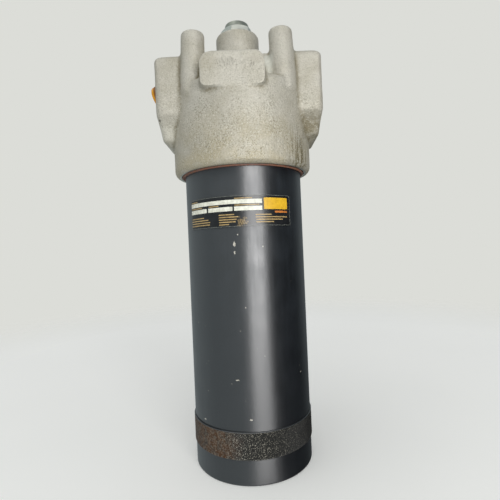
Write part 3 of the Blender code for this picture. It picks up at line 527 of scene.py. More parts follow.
def sand_cast_aluminium(settings):
    """Sand-cast aluminium, shot-blasted: a dull grainy skin stained by oil, with painted shade in its
    hollow corners and painted highlights on its edges.
    """
    material, tree, shader, place = new_material("sand_cast_aluminium", settings.skin, 0.58, 0.3)
    x, y, z = node(tree, "SeparateXYZ", {0: place}).node.outputs
    point = node(tree, "NewGeometry", out="Pointiness")
    # Masks that grow from 0 at a start to a height at an end: (value, start, end, height)
    fades = {
        "near rim": (z, 0.290, 0.248, 1.0),
        "under bosses": (z, 0.288, 0.280, 1.0),
        "above taper": (z, 0.2655, 0.273, 0.75),
        "above left taper": (z, 0.260, 0.274, 1.0),
        "right boss": (x, 0.0475, 0.053, 1.0),
        "left boss": (x, -0.0475, -0.053, 1.0),
        "right": (x, 0.034, 0.043, 1.0),
        "below bosses": (z, 0.278, 0.258, 1.0),
        "front half": (y, -0.018, -0.030, 0.75),
        "front": (y, -0.030, -0.032, 1.0),
        "behind pad": (y, -0.0425, -0.0405, 0.45),
        "body": (z, 0.318, 0.285, 1.0),
        # Painted shade in hollow corners and painted highlights on convex edges, found by pointiness
        "corners": (point, 0.497, 0.474, 0.85),
        "edges": (point, 0.515, 0.570, 0.50),
    }
    fade = {}
    for name, (value, start, end, high) in fades.items():
        sockets = {"Value": value, "From Min": start, "From Max": end, "To Max": high}
        fade[name] = node(tree, "MapRange", sockets)
    # Oxide in patches, warmer and dirtier towards the rim
    patches = product(tree, speckle(tree, place, 24, 0.40, 0.66, 5.0), 0.65)
    warm = product(tree, fade["near rim"], speckle(tree, place, 14, 0.28, 0.58, 3.0), 0.6)
    # Oil under the right boss and in runs below it; painted light makes the left boss's underside pale
    dirty = speckle(tree, place, 5, 0.25, 0.55, 3.0)
    right = product(tree, fade["right boss"], fade["under bosses"], fade["above taper"], dirty)
    streaked = node(tree, "Mapping", {"Vector": place, "Scale": (1.0, 1.0, 0.10)})
    fine = speckle(tree, streaked, 1.5, 0.42, 0.60, 2.0)
    near_front = node(tree, "Math", {0: fade["front half"], 1: 0.25}, operation="ADD")
    runs = product(tree, fade["right"], fade["below bosses"], fine, near_front)
    oil = node(tree, "Math", {0: right, 1: runs}, operation="MAXIMUM")
    rubbed = product(tree, fade["left boss"], fade["under bosses"], fade["above left taper"], 0.7)
    # Pits and bright flakes of the blasting; the real ones are about half as large
    crowd = speckle(tree, place, 18, 0.36, 0.62, 3.0)
    crowded = product(tree, fade["body"], crowd, 0.55)
    share = node(tree, "Math", {0: crowded, 1: 0.35}, operation="ADD")
    pits = product(tree, speckle(tree, place, 0.95, 0.53, 0.64, 1.0), share, 0.65)
    grains = product(tree, speckle(tree, place, 1.2, 0.45, 0.36, 1.0), share, 0.50)
    flakes = product(tree, speckle(tree, place, 1.3, 0.655, 0.70, 1.0), fade["body"], 0.7)
    bright = node(tree, "Math", {0: grains, 1: flakes}, operation="MAXIMUM")
    # Scuffs on the pad, nicks and the painted shade of a hole on the left boss, and painted light in
    # the hollow right of the pad
    flat = node(tree, "CombineXYZ", {0: x, 1: z})
    ragged = ragged_edge(tree, place, 2.2, 0.6)
    slanted = {"Vector": flat, "Rotation": (0, 0, 0.5), "Scale": (1.0, 0.2, 1.0)}
    hatch = speckle(tree, node(tree, "Mapping", slanted), 0.8, 0.46, 0.60, 1.0)
    scuffed = product(tree, spots(tree, flat, PAD_SCUFFS, ragged), hatch, fade["front"])
    nick = speckle(tree, place, 2.4, 0.52, 0.58, 1.0)
    nicks = product(tree, spots(tree, flat, BOSS_NICKS, ragged), fade["front"], nick)
    clean = product(tree, spots(tree, flat, PAINTED_LIGHT_HOLLOW, 0.0), fade["behind pad"])
    # Painted shade of the hole
    hole = product(tree, spots(tree, flat, BOSS_HOLE, ragged), fade["front"])
    layers = (
        (patches, settings.skin_dull),
        (warm, settings.warm),
        (oil, settings.dirt_and_corner_shade),
        # Painted light on the left boss's underside
        (rubbed, settings.edge),
        # Painted shade in hollow corners, then painted highlights on convex edges
        (fade["corners"], settings.dirt_and_corner_shade),
        (fade["edges"], settings.edge),
        (pits, settings.pits),
        (bright, settings.edge),
        (product(tree, scuffed, 0.32), settings.scuffs),
        (nicks, settings.edge),
        # Painted light in the hollow beside the pad, and the painted shade of the hole
        (clean, settings.clean),
        (hole, settings.hole),
    )
    grain = node(tree, "TexNoise", {"Vector": place, "Scale": per_mm(1.15), "Detail": 3.0})
    coarse = node(tree, "TexNoise", {"Vector": place, "Scale": per_mm(4.5), "Detail": 2.0})
    skin = node(tree, "Math", {0: grain, 1: coarse}, operation="ADD")
    marks = node(tree, "Math", {0: product(tree, scuffed, 0.3), 1: hole}, operation="ADD")
    height = node(tree, "Math", {0: skin, 1: marks}, operation="SUBTRACT")
    surface(tree, shader, settings.skin, layers, height, 0.45, 0.9)
    return material


def machined_aluminium(settings):
    """Turned and milled aluminium: bright, with fine rings left by the tool."""
    material, tree, shader, place = new_material("machined_aluminium", settings.machined, 0.42, 1.0)
    sockets = {"Vector": place, "Scale": per_mm(4), "Distortion": 0.4}
    rings = node(tree, "TexWave", sockets, wave_type="RINGS")
    up = node(tree, "SeparateXYZ", {0: place}, out="Z")
    above = node(tree, "MapRange", {"Value": up, "From Min": 0.25, "From Max": 0.30})
    layers = (
        (product(tree, speckle(tree, place, 5, 0.35, 0.7, 3.0), 0.35), settings.skin_dull),
        (product(tree, above, 0.1), settings.skin_dull),
    )
    surface(tree, shader, settings.machined, layers, rings, 0.02, 0.5)
    return material


def black_enamel(settings):
    """Black enamel on steel: glossy under a haze of dust, chipped to bare steel in a few places."""
    material, tree, shader, place = new_material("black_enamel", settings.paint, 0.40)
    for name, value in (("IOR", 2.25), ("Anisotropic", 0.8), ("Anisotropic Rotation", 0.25)):
        shader.inputs[name].default_value = value
    around = node(tree, "Tangent", direction_type="RADIAL", axis="Z")
    tree.links.new(around, shader.inputs["Tangent"])
    flat = unrolled(tree, place, settings.radius)
    streaked = node(tree, "Mapping", {"Vector": flat, "Scale": (1.0, 0.05, 1.0)})
    streaks = speckle(tree, streaked, 1.8, 0.42, 0.75, 4.0)
    haze = speckle(tree, place, 16, 0.35, 0.68, 5.0)
    worn = node(tree, "Math", {0: haze, 1: streaks}, operation="ADD")
    gloss = node(tree, "MapRange", {"Value": worn, "From Max": 2.0, "To Min": 0.40, "To Max": 0.52})
    tree.links.new(gloss, shader.inputs["Roughness"])
    up = node(tree, "SeparateXYZ", {0: place}, out="Z")
    dusty = node(tree, "MapRange", {"Value": up, "From Min": 0.03, "From Max": 0.20, "To Min": 0.1})
    chips = spots(tree, flat, PAINT_CHIPS, ragged_edge(tree, place, 0.9, 0.5))
    specks = speckle(tree, place, 2.2, 0.815, 0.83, 1.0)
    chipped = node(tree, "Math", {0: chips, 1: specks}, operation="MAXIMUM")
    layers = ((product(tree, worn, 0.035, dusty), settings.dust), (chipped, settings.bare))
    peel = node(tree, "TexNoise", {"Vector": place, "Scale": per_mm(3.0), "Detail": 2.0})
    height = node(tree, "Math", {0: peel, 1: product(tree, chipped, 2.0)}, operation="SUBTRACT")
    surface(tree, shader, settings.paint, layers, height, 0.05, 0.6)
    return material


def knurled_steel(settings):
    """Knurled steel under worn paint: bright on its peaks, with painted glints, rusty brown on the left
    and painted darker towards the right.
    """
    material, tree, shader, place = new_material("knurled_steel", settings.band, 0.58, 0.2)
    shader.inputs["Specular IOR Level"].default_value = 0.3
    x, y = node(tree, "SeparateXYZ", {0: place}).node.outputs[:2]
    level = node(tree, "CombineXYZ", {0: x, 1: y})
    far = node(tree, "VectorMath", {0: level}, out="Value", operation="LENGTH")
    top = settings.radius + settings.band_raise
    sockets = {"Value": far, "From Min": top - 0.22 * MM, "From Max": top - 0.04 * MM}
    peak = node(tree, "MapRange", sockets)
    rubbed = product(tree, peak, speckle(tree, place, 1.6, 0.42, 0.62, 2.0), 0.18)
    # Rust ends along a wandering line
    wandering = product(tree, speckle(tree, place, 12, 0.2, 0.8, 3.0), 9 * MM)
    side = node(tree, "Math", {0: x, 1: wandering}, operation="ADD")
    left = node(tree, "MapRange", {"Value": side, "From Min": -4 * MM, "From Max": -19 * MM})
    rusty = product(tree, left, speckle(tree, place, 3.5, 0.25, 0.55, 4.0))
    # Painted glints: bare-steel specks that stand in for highlights, fewer in the rust and towards the
    # right; the real ones are about half as large
    sockets = {"Value": x, "From Min": 0.005, "From Max": 0.045, "To Min": 1.0, "To Max": 0.3}
    shaded = node(tree, "MapRange", sockets)
    bright = node(tree, "Math", {0: 0.60, 1: product(tree, left, 0.5)}, operation="SUBTRACT")
    glints = product(tree, speckle(tree, place, 0.8, 0.58, 0.66, 1.0), bright, shaded)
    # Painted shade: the band is painted darker towards the right
    right_painted_shade = node(tree, "Math", {0: 1.0, 1: shaded}, operation="SUBTRACT")
    layers = (
        (rusty, settings.rust),
        (rubbed, settings.bare),
        (glints, settings.bare),
        (right_painted_shade, settings.band_painted_shade),
    )
    grit = node(tree, "TexNoise", {"Vector": place, "Scale": per_mm(0.6), "Detail": 3.0})
    surface(tree, shader, settings.band, layers, grit, 0.08, 0.6)
    return material


def wiper_rubber(settings):
    """Red-brown rubber: matt, with a dusty bloom on its lip."""
    material, tree, shader, place = new_material("wiper_rubber", settings.ring, 0.55)
    bloom = speckle(tree, place, 2.2, 0.4, 0.7, 3.0)
    layers = ((product(tree, bloom, 0.35), settings.dust),)
    surface(tree, shader, settings.ring, layers, bloom, 0.04, 0.4)
    return material


def zinc_plate(name, base, roughness, ring_mm, dull, crown=None):
    """Plated or oiled steel: metallic, with turning marks and a mottled tarnish.

    A darker crown is given as its lower end and its colour.
    """
    material, tree, shader, place = new_material(name, base, roughness, 1.0)
    mottle = speckle(tree, place, 6, 0.35, 0.7, 4.0)
    layers = [(product(tree, mottle, 0.4), dull)]
    if crown:
        low, crown_tone = crown
        up = node(tree, "SeparateXYZ", {0: place}, out="Z")
        above = {"Value": up, "From Min": low, "From Max": low + 0.3 * MM, "To Max": 0.6}
        layers.append((node(tree, "MapRange", above), crown_tone))
    sheen = {"Value": mottle, "To Min": roughness - 0.06, "To Max": roughness + 0.12}
    tree.links.new(node(tree, "MapRange", sheen), shader.inputs["Roughness"])
    sockets = {"Vector": place, "Scale": per_mm(ring_mm * 6), "Distortion": 1.0}
    marks = node(tree, "TexWave", sockets, wave_type="RINGS", rings_direction="Z")
    surface(tree, shader, base, layers, marks, 0.02, 0.5)
    return material


def moulded_polyethylene(settings):
    """Orange polyethylene: waxy and a little see-through, grimy where it is handled, with painted shade
    on the neck behind its flange.
    """
    material, tree, shader, place = new_material("moulded_polyethylene", settings.plastic, 0.38)
    shader.inputs["Subsurface Weight"].default_value = 0.08
    shader.inputs["Subsurface Radius"].default_value = (0.002, 0.001, 0.0004)
    shader.inputs["Subsurface Scale"].default_value = 1.0
    grime = speckle(tree, place, 4, 0.5, 0.75, 4.0)
    # Painted shade on the outside of the neck behind the leaning flange
    middle = node(tree, "VectorMath", {0: place, 1: (0, 0, -PORT_Z)}, operation="ADD")
    slope = (1, -math.tan(settings.port_plug_turn), math.tan(settings.port_plug_tilt))
    across = node(tree, "VectorMath", {0: middle, 1: slope}, out="Value", operation="DOT_PRODUCT")
    flange = PORT_PLUG_LOW.x + settings.port_plug_sunk + settings.port_flange
    start, end = flange - 0.9 * MM, flange - 0.1 * MM
    sockets = {"Value": across, "From Min": start, "From Max": end, "To Max": 0.85}
    behind = node(tree, "MapRange", sockets)
    upright = node(tree, "VectorMath", {0: middle, 1: (0, 1, 1)}, operation="MULTIPLY")
    far = node(tree, "VectorMath", {0: upright}, out="Value", operation="LENGTH")
    outer = node(tree, "MapRange", {"Value": far, "From Min": 9.1 * MM, "From Max": 9.4 * MM})
    layers = (
        (product(tree, grime, 0.4), settings.plastic_shade),
        # Painted shade behind the flange
        (product(tree, behind, outer), settings.plastic_shade),
    )
    surface(tree, shader, settings.plastic, layers, grime, 0.03, 0.4)
    return material


def plain_mottled(name, base, roughness, size, other, share, depth):
    """A matt or satin surface with soft mottling of this size in millimetres."""
    material, tree, shader, place = new_material(name, base, roughness)
    mottle = speckle(tree, place, size, 0.35, 0.7, 4.0)
    surface(tree, shader, base, [(product(tree, mottle, share), other)], mottle, depth, 0.5)
    return material


def scratched_film(settings, radius):
    """Black vinyl film: a smooth sheen, scratched through to pale glue in one place."""
    material, tree, shader, place = new_material("label_film", settings.film, 0.28)
    flat = unrolled(tree, place, radius)
    slanted = {"Vector": flat, "Rotation": (0, 0, 0.7), "Scale": (1.0, 0.25, 1.0)}
    lines = speckle(tree, node(tree, "Mapping", slanted), 0.5, 0.36, 0.62, 3.0)
    rubbed = spots(tree, flat, LABEL_SCRATCHES, ragged_edge(tree, place, 2.0, 0.5))
    scratches = product(tree, rubbed, lines, 0.6)
    mottle = product(tree, speckle(tree, place, 8, 0.35, 0.7, 4.0), 0.25)
    layers = ((mottle, settings.film_mottle), (scratches, settings.tan))
    surface(tree, shader, settings.film, layers, scratches, 0.03, 0.5)
    return material


# Head


def body_shape(settings):
    """The round lower body, a little longer than the faced rim that it is cut back to."""
    radius = settings.body_radius
    top = RIM_Z + settings.body_height
    bottom = RIM_Z - 0.3 * MM
    rim = (radius - settings.rim_round, bottom + settings.rim_round)
    shoulder = (radius - settings.shoulder_round, top - settings.shoulder_round)
    profile = arc(shoulder, settings.shoulder_round, 90, 0)
    profile += [(radius, z) for z in stretch(shoulder[1], rim[1], 4 * MM)[1:-1]]
    profile += arc(rim, settings.rim_round, 0, -90, 4)
    return turned(profile, 160)


def boss_shape(settings, side):
    """A port boss: an upright slab with round corners, whose underside slopes back to the body."""
    top = RIM_Z + settings.block_height
    round_ = settings.corner_round

    def outline(height, reach, half_width):
        shape = rounded(POST_SPREAD, reach, -half_width, half_width, [round_] * 4)
        return [(side * x, y, height) for x, y in shape]

    outlines = [
        outline(RIM_Z + settings.boss_foot, settings.body_radius, settings.boss_foot_half_width),
        outline(RIM_Z + settings.boss_knee, settings.boss_knee_reach, settings.boss_knee_half_width),
    ]
    # Height over the taper's start, and how far in its end and its sides stand, in millimetres
    taper = RIM_Z + settings.boss_taper
    for rise, end, side_in in ((-6, 1.4, 6.5), (1.5, 0.3, 0.6), (5, 0, 0)):
        half_width = settings.boss_half_width - side_in * MM
        outlines.append(outline(taper + rise * MM, PORT_FACE - end * MM, half_width))
    for inset, rise in arc((0, 0), round_, 0, 90, 6):
        shrink = round_ - inset
        half_width = settings.boss_half_width - shrink
        outlines.append(outline(top - round_ + rise, PORT_FACE - shrink, half_width))
    points, faces = lofted(outlines)
    if side < 0:
        faces = [tuple(reversed(face)) for face in faces]
    return points, faces


def block_shape(settings):
    """The squared upper part between the bosses."""
    top = RIM_Z + settings.block_height
    bottom = RIM_Z + settings.body_height - 10 * MM
    round_ = settings.corner_round
    levels = [(0, bottom)]
    for inset, rise in arc((0, 0), round_, 0, 90, 6):
        levels.append((round_ - inset, top - round_ + rise))
    half = PORT_FACE - 22 * MM
    outlines = []
    for shrink, height in levels:
        width = settings.block_half_width - shrink
        shape = rounded(-half, half, -width, width, [round_] * 4)
        outlines.append([(x, y, height) for x, y in shape])
    return lofted(outlines)


def apron_shape(settings):
    """The wall between the front pad and the posts, from the block down to the shoulder."""
    top = RIM_Z + settings.block_height
    shoulder = RIM_Z + settings.body_height
    half_length, corner = 34 * MM, 7 * MM
    # Heights, and half the wall's width there in millimetres
    levels = (
        (shoulder - 8 * MM, 41), (shoulder + 8 * MM, 40.5),
        (shoulder + 15 * MM, 39), (top - 1 * MM, 33),
    )
    outlines = []
    for height, half_width in levels:
        half_width *= MM
        shape = rounded(-half_length, half_length, -half_width, half_width, [corner] * 4)
        outlines.append([(x, y, height) for x, y in shape])
    return lofted(outlines)


def pad_shape(settings):
    """The flat cast pad on the front."""
    front = -HEAD_LOW.y - 0.1 * MM
    edge = 0.9 * MM
    levels = [(front - edge + rise, edge - inset) for inset, rise in arc((0, 0), edge, 0, 90, 4)]
    levels.insert(0, (settings.block_half_width - 5 * MM, -1.5 * MM))
    low, high = RIM_Z + settings.pad_bottom, RIM_Z + settings.pad_top
    left, right = settings.pad_left, settings.pad_right
    slope = settings.pad_lean / (high - low)
    low_corner, high_corner = 4.5 * MM, 8.5 * MM
    outlines = []
    for depth, shrink in levels:
        radii = [r - shrink for r in (low_corner, high_corner, high_corner, low_corner)]
        shape = rounded(left + shrink, right - shrink, low + shrink, high - shrink, radii)
        outlines.append([(x, slope * (high - z) - depth, z) for x, z in shape])
    return lofted(outlines)


def post_shapes(settings):
    """Four posts with round tops, which lean out a little and run down over the shoulder."""
    top = POST_TOP_Z + 0.4 * MM
    bottom = RIM_Z + settings.body_height - 11 * MM
    round_ = settings.post_round
    foot, toe = settings.post_radius + settings.post_draft, 5 * MM
    profile = arc((settings.post_radius - round_, top - round_), round_, 90, 0)
    profile += [(foot, z) for z in stretch(bottom + 18 * MM, bottom + toe, 4 * MM)]
    profile += arc((foot - toe, bottom + toe), toe, 0, -90)
    points, faces = turned(profile, 48)
    # The lean starts below the round top
    lean = settings.post_lean * np.clip((top - 14 * MM - points[:, 2]) / (20 * MM), 0, 1)
    out = POST_SPREAD + lean
    posts = []
    for x in (-1, 1):
        for y in (-1, 1):
            posts.append((points + np.stack([x * out, y * out, 0 * out], -1), faces))
    return posts


def top_boss_shape(settings):
    """The round boss on top, with the cast flare at its foot."""
    top = BOSS_TOP_Z + 0.5 * MM
    foot = RIM_Z + settings.block_height
    flare = 4 * MM
    radius = settings.boss_radius
    edge = 1.2 * MM
    profile = arc((radius - edge, top - edge), edge, 90, 0, 3)
    profile += arc((radius + flare, foot + flare), flare, 180, 270, 6)
    profile.append((radius + flare, foot - 6 * MM))
    return turned(profile, 72)


def neighbour_mean(points, edges):
    """The mean place of each point's neighbours along the edges."""
    total = np.zeros_like(points)
    count = np.bincount(edges.ravel(), minlength=len(points))
    for first, second in ((0, 1), (1, 0)):
        for axis in range(3):
            total[:, axis] += np.bincount(
                edges[:, first], weights=points[edges[:, second], axis], minlength=len(points)
            )
    return total / np.maximum(count, 1)[:, None]


def fill_corners(thing, passes):
    """Cast fillets: hollow corners are pulled outwards a little in each pass, the rest stays."""
    mesh = thing.data
    points = np.empty(len(mesh.vertices) * 3)
    edges = np.empty(len(mesh.edges) * 2, int)
    mesh.vertices.foreach_get("co", points)
    mesh.edges.foreach_get("vertices", edges)
    points, edges = points.reshape(-1, 3), edges.reshape(-1, 2)
    for index in range(passes):
        if index % 4 == 0:
            mesh.vertices.foreach_set("co", points.ravel())
            mesh.update()
            normals = np.empty(len(mesh.vertices) * 3)
            mesh.vertices.foreach_get("normal", normals)
            normals = normals.reshape(-1, 3)
        pull = neighbour_mean(points, edges) - points
        hollow = np.einsum("ij,ij->i", pull, normals) > 0.004 * MM
        points += np.where(hollow[:, None], 0.6, 0.0) * pull
    # Smoothed, and swollen again so that it keeps its size
    for share in (0.5, -0.52, 0.5, -0.52):
        points += share * (neighbour_mean(points, edges) - points)
    mesh.vertices.foreach_set("co", points.ravel())
    mesh.update()


def roughen(thing, waves):
    """Moves the skin in and out by noise; waves are (size, depth) in millimetres."""
    mesh = thing.data
    normals = [vertex.normal.copy() for vertex in mesh.vertices]
    for vertex, normal in zip(mesh.vertices, normals):
        depth = sum(noise.noise(vertex.co / (size * MM)) * amount for size, amount in waves)
        vertex.co += normal * (depth * MM)
    mesh.update()


def head_cutters(settings, bowl):
    """Everything that is machined in the casting after it has cooled."""
    # The mouth for the bowl, from the element's spigot down to the faced rim
    spigot = 19.5 * MM
    ceiling = BOWL_HIGH.z + 10 * MM
    spigot_end = ceiling - 22 * MM
    seal = bowl.nose_radius + 0.35 * MM
    bore = bowl.radius + 0.35 * MM
    ring = RING_HIGH.x + 0.3 * MM
    ring_seat = RING_HIGH.z + 0.3 * MM
    outside = settings.body_radius + 8 * MM
    chamfer = 0.8 * MM
    heights = stretch(bowl.thread_top + 1 * MM, ring_seat, bowl.thread_pitch / 7)
    profile = [(spigot, spigot_end), (spigot, ceiling), (seal, ceiling), (seal, heights[0])]
    start = len(profile)
    profile += [(bore, height) for height in heights]
    end = len(profile)
    profile += [(ring, ring_seat), (ring, RIM_Z + chamfer), (ring + chamfer, RIM_Z)]
    profile += [(outside, RIM_Z), (outside, RIM_Z - 6 * MM)]
    columns = 160
    levels = np.array(profile)[:, 1]

    def relief(row, column):
        angle = FULL_TURN * column / columns
        wave = thread_wave(levels[row], angle, bowl.thread_pitch, bowl.thread_bottom, bowl.thread_top)
        return np.where((row >= start) & (row < end), -bowl.thread_depth * 0.75 * wave, 0)

    cutters = [solid("bowl_cavity", turned(profile, columns, relief))]
    # The top boss's face, the plug's seat and thread, and the bypass valve's bore
    facing, plug_seat, plug_thread, valve = 30 * MM, 12.7 * MM, 11.3 * MM, 9 * MM
    seat_floor, thread_floor = BOSS_TOP_Z - 3 * MM, BOSS_TOP_Z - 30 * MM
    profile = [(facing, BOSS_TOP_Z + 4 * MM), (facing, BOSS_TOP_Z), (plug_seat, BOSS_TOP_Z)]
    profile += [(plug_seat, seat_floor), (plug_thread, seat_floor), (plug_thread, thread_floor)]
    profile += [(valve, thread_floor), (valve, PORT_Z + 2 * MM)]
    cutters.append(solid("valve_pocket", turned(profile, 96)))
    # The chamber that leads to the outlet, and the drop from the inlet to the space round the element
    chamber = turned([(14 * MM, PORT_Z + 10 * MM), (14 * MM, spigot_end - 4 * MM)], 64)
    cutters.append(solid("outlet_chamber", chamber))
    drop = turned([(9.5 * MM, PORT_Z), (9.5 * MM, ceiling - 5 * MM)], 48)
    cutters.append(solid("inlet_drop", placed(drop, Matrix.Translation((-34 * MM, 0, 0)))))
    # The two threaded ports: the outlet's runs to the axis, the inlet's is blind
    spot_face, lead_in, lead_out = 14 * MM, 11.8 * MM, 9 * MM
    for side, inner in ((1, 0.0), (-1, 27 * MM)):
        reach = PORT_FACE + 4 * MM - inner
        hole = threaded_bore(settings.bore_radius, 0.7 * MM, settings.port_pitch, reach)
        floor = reach - 4.6 * MM
        mouth = [(spot_face, reach), (spot_face, floor), (lead_in, floor), (lead_out, reach - 7.4 * MM)]
        mouth = turned(mouth, 96)
        turn = Matrix.Rotation(side * math.pi / 2, 4, "Y")
        move = Matrix.Translation((side * inner, 0, PORT_Z)) @ turn
        cutters.append(solid("port_bore", placed(hole, move)))
        cutters.append(solid("port_mouth", placed(mouth, move)))
    # A faced and threaded hole in each post
    depth = 18 * MM
    above = depth + 2 * MM
    hole = threaded_bore(4.2 * MM, 0.6 * MM, 1.5 * MM, above, 36)
    recess, lead_in, lead_out = 7.4 * MM, 5.2 * MM, 4.0 * MM
    face = [(recess, above), (recess, depth), (lead_in, depth), (lead_out, depth - 1.2 * MM)]
    face = turned(face, 48)
    for x in (-1, 1):
        for y in (-1, 1):
            move = Matrix.Translation((x * POST_SPREAD, y * POST_SPREAD, POST_TOP_Z - depth))
            cutters.append(solid("post_hole", placed(hole, move)))
            cutters.append(solid("post_face", placed(face, move)))
    return cutters


def make_head(settings, bowl):
    """The casting: its lobes melted into one skin with cast fillets, then machined."""
    shapes = [body_shape(settings), boss_shape(settings, -1), boss_shape(settings, 1)]
    shapes += [block_shape(settings), apron_shape(settings), pad_shape(settings)]
    shapes += [top_boss_shape(settings), *post_shapes(settings)]
    head = solid("cast_head", *shapes)
    melt = head.modifiers.new("Melt", "REMESH")
    melt.mode = "VOXEL"
    melt.voxel_size = settings.remesh
    settle(head)
    fill_corners(head, settings.fillet_passes)
    roughen(head, ((26, 0.22), (7, 0.10), (1.9, 0.07)))
    skin, machined = sand_cast_aluminium(settings), machined_aluminium(settings)
    head.data.materials.append(skin)
    cutters = head_cutters(settings, bowl)
    for cutter in cutters:
        cutter.data.materials.append(machined)
    cut(head, cutters)
    return finished(head, (), "head", "cast_head", "filter_head", sharp=40)


# Bowl


def make_bowl(settings):
    """The painted bowl with its knurled band, thread and sealing nose, all in one turned mesh."""
    radius = settings.radius
    bore = radius - settings.wall
    top = BOWL_HIGH.z
    nose = settings.nose_radius
    band_top = settings.band_bottom + settings.band_height
    proud = radius + settings.band_raise
    pitch = FULL_TURN * proud / settings.knurl_count
    # Inside, from the middle of the floor up to the nose with its seal's groove
    hub, corner = 8 * MM, 5 * MM
    groove_top, groove_bottom, groove_root = top - 2.5 * MM, top - 9.3 * MM, nose - 2.4 * MM
    profile = [(hub, settings.floor)]
    profile += arc((bore - corner, settings.floor + corner), corner, -90, 0)
    profile += [(bore, z) for z in stretch(settings.floor + corner, top, 60 * MM)[1:]]
    profile += [(nose - 1 * MM, top), (nose, top - 1 * MM), (nose, groove_top)]
    profile += [(groove_root, groove_top), (groove_root, groove_bottom), (nose, groove_bottom)]
    # Outside, down over the thread, the thin groove and the knurled band
    threads = stretch(settings.thread_top, settings.thread_bottom, settings.thread_pitch / 8)
    thread_start = len(profile)
    profile += [(radius, z) for z in threads]
    thread_end = len(profile)
    thin_top, thin_root = band_top + 1 * MM, radius - 0.7 * MM
    profile += [(radius, z) for z in stretch(settings.thread_bottom, thin_top, 8 * MM)[1:]]
    profile += [(thin_root, thin_top), (thin_root, band_top)]
    profile += [(proud - 0.5 * MM, band_top)]
    knurl_start = len(profile)
    band = stretch(band_top - 0.4 * MM, settings.band_bottom + 0.4 * MM, pitch / 2)
    profile += [(proud, z) for z in band]
    knurl_end = len(profile) - 1
    profile += [(proud - 0.5 * MM, settings.band_bottom), (radius, settings.band_bottom - 0.4 * MM)]
    profile += arc((radius - settings.end_round, settings.end_round), settings.end_round, 0, -90)
    profile.append((hub, 0))
    columns = 2 * settings.knurl_count
    levels = np.array(profile)[:, 1]

    def relief(row, column):
        angle = FULL_TURN * column / columns
        wave = thread_wave(
            levels[row], angle, settings.thread_pitch, settings.thread_bottom, settings.thread_top
        )
        threaded = (row >= thread_start) & (row < thread_end)
        knurled = (row > knurl_start) & (row < knurl_end) & ((row + column) % 2 == 0)
        # The knurl is worn flat on the left of the front
        worn = np.where(np.sin(angle) < 0, np.clip((np.cos(angle) + 0.55) / 0.45, 0.25, 1), 1)
        return -settings.thread_depth * wave * threaded - settings.knurl_depth * worn * knurled

    points, faces = turned(profile, columns, relief, (knurl_start, knurl_end))
    return points, faces, (knurl_start, knurl_end, columns)


def bowl_piece(settings):
    """The bowl as an object, with one finish for its paint and one for the knurl."""
    points, faces, (first, last, columns) = make_bowl(settings)
    bowl = solid("painted_bowl", (points, faces))
    bowl.data.materials.append(black_enamel(settings))
    bowl.data.materials.append(knurled_steel(settings))
    rows = [min(face) // columns for face in faces]
    knurled = [int(first <= row < last) for row in rows]
    bowl.data.polygons.foreach_set("material_index", knurled)
    return finished(bowl, (), "bowl", "bowl_paint", "filter_bowl", sharp=32)


def ring_piece(settings):
    """The wiper ring: two lips with a groove between them."""
    inner, outer = settings.radius + 0.35 * MM, RING_HIGH.x
    low, high = RING_LOW.z, RING_HIGH.z
    middle = (inner + outer) / 2
    outer_lip, inner_lip = 0.45 * MM, 0.35 * MM
    profile = [(inner, high), (outer, high), (outer, low + 0.9 * MM)]
    profile += arc((outer - outer_lip, low + 0.5 * MM), outer_lip, 0, -180, 6)
    profile += [(middle, low + 0.7 * MM)]
    profile += arc((inner + inner_lip, low + inner_lip), inner_lip, 0, -180, 6)
    profile.append(profile[0])
    ring = solid("wiper_ring", turned(profile, 240))
    return finished(ring, [wiper_rubber(settings)], "head", "wiper_rubber", "dust_ring")


# Label


def label_patch(start, end, top, height, inner, thickness):
    """A curved patch on the bowl; the ends are angles in degrees round from the front."""
    steps = max(1, round((end - start) / 2))
    angles = np.radians(np.linspace(start, end, steps + 1))
    low, high = LABEL_TOP_Z - (top + height) * MM, LABEL_TOP_Z - top * MM
    outer = inner + thickness
    corners = ((inner, low), (inner, high), (outer, high), (outer, low))
    outlines = []
    for angle in angles:
        x, y = math.sin(angle), -math.cos(angle)
        outlines.append([(radius * x, radius * y, z) for radius, z in corners])
    points, faces = lofted(outlines)
    return points, [tuple(reversed(face)) for face in faces]


# The print, as (start, end) in degrees round from the front, (top, height) in millimetres
WHITE_FIELDS = (
    (-56.5, 16.5, 3.1, 3.2),
    (-56.5, -34.4, 8.4, 3.2),
    (-32.7, -9.3, 8.4, 3.2),
    (-7.8, 16.5, 8.4, 3.2),
)
YELLOW_BLOCK = ((18.2, 42.4, 2.2, 8.8),)
ORANGE_BAR = ((28.5, 42.0, 12.2, 1.5),)
FIELD_BARS = (
    (-56, -46, 1.9, 0.7),
    (-7.5, 8, 1.9, 0.7),
    (-56, -40, 7.0, 0.7),
    (-32, -22, 7.0, 0.7),
    (-7.5, 14, 7.0, 0.7),
)
# Groups of plain bars: the top of a group, then the start and end of each bar
BAR_GROUPS = (
    (15.0, ((-56, -38), (-56, -33), (-56, -31), (-56, -31.5))),
    (13.9, ((-22, -8), (-22, -4.5), (-22, -6), (-22, -7), (-22, -13))),
    (14.6, ((10.5, 25), (10.5, 41.5), (11, 36.5), (10.5, 27))),
)
BAR_SPACING, BAR_HEIGHT = 1.85, 0.8


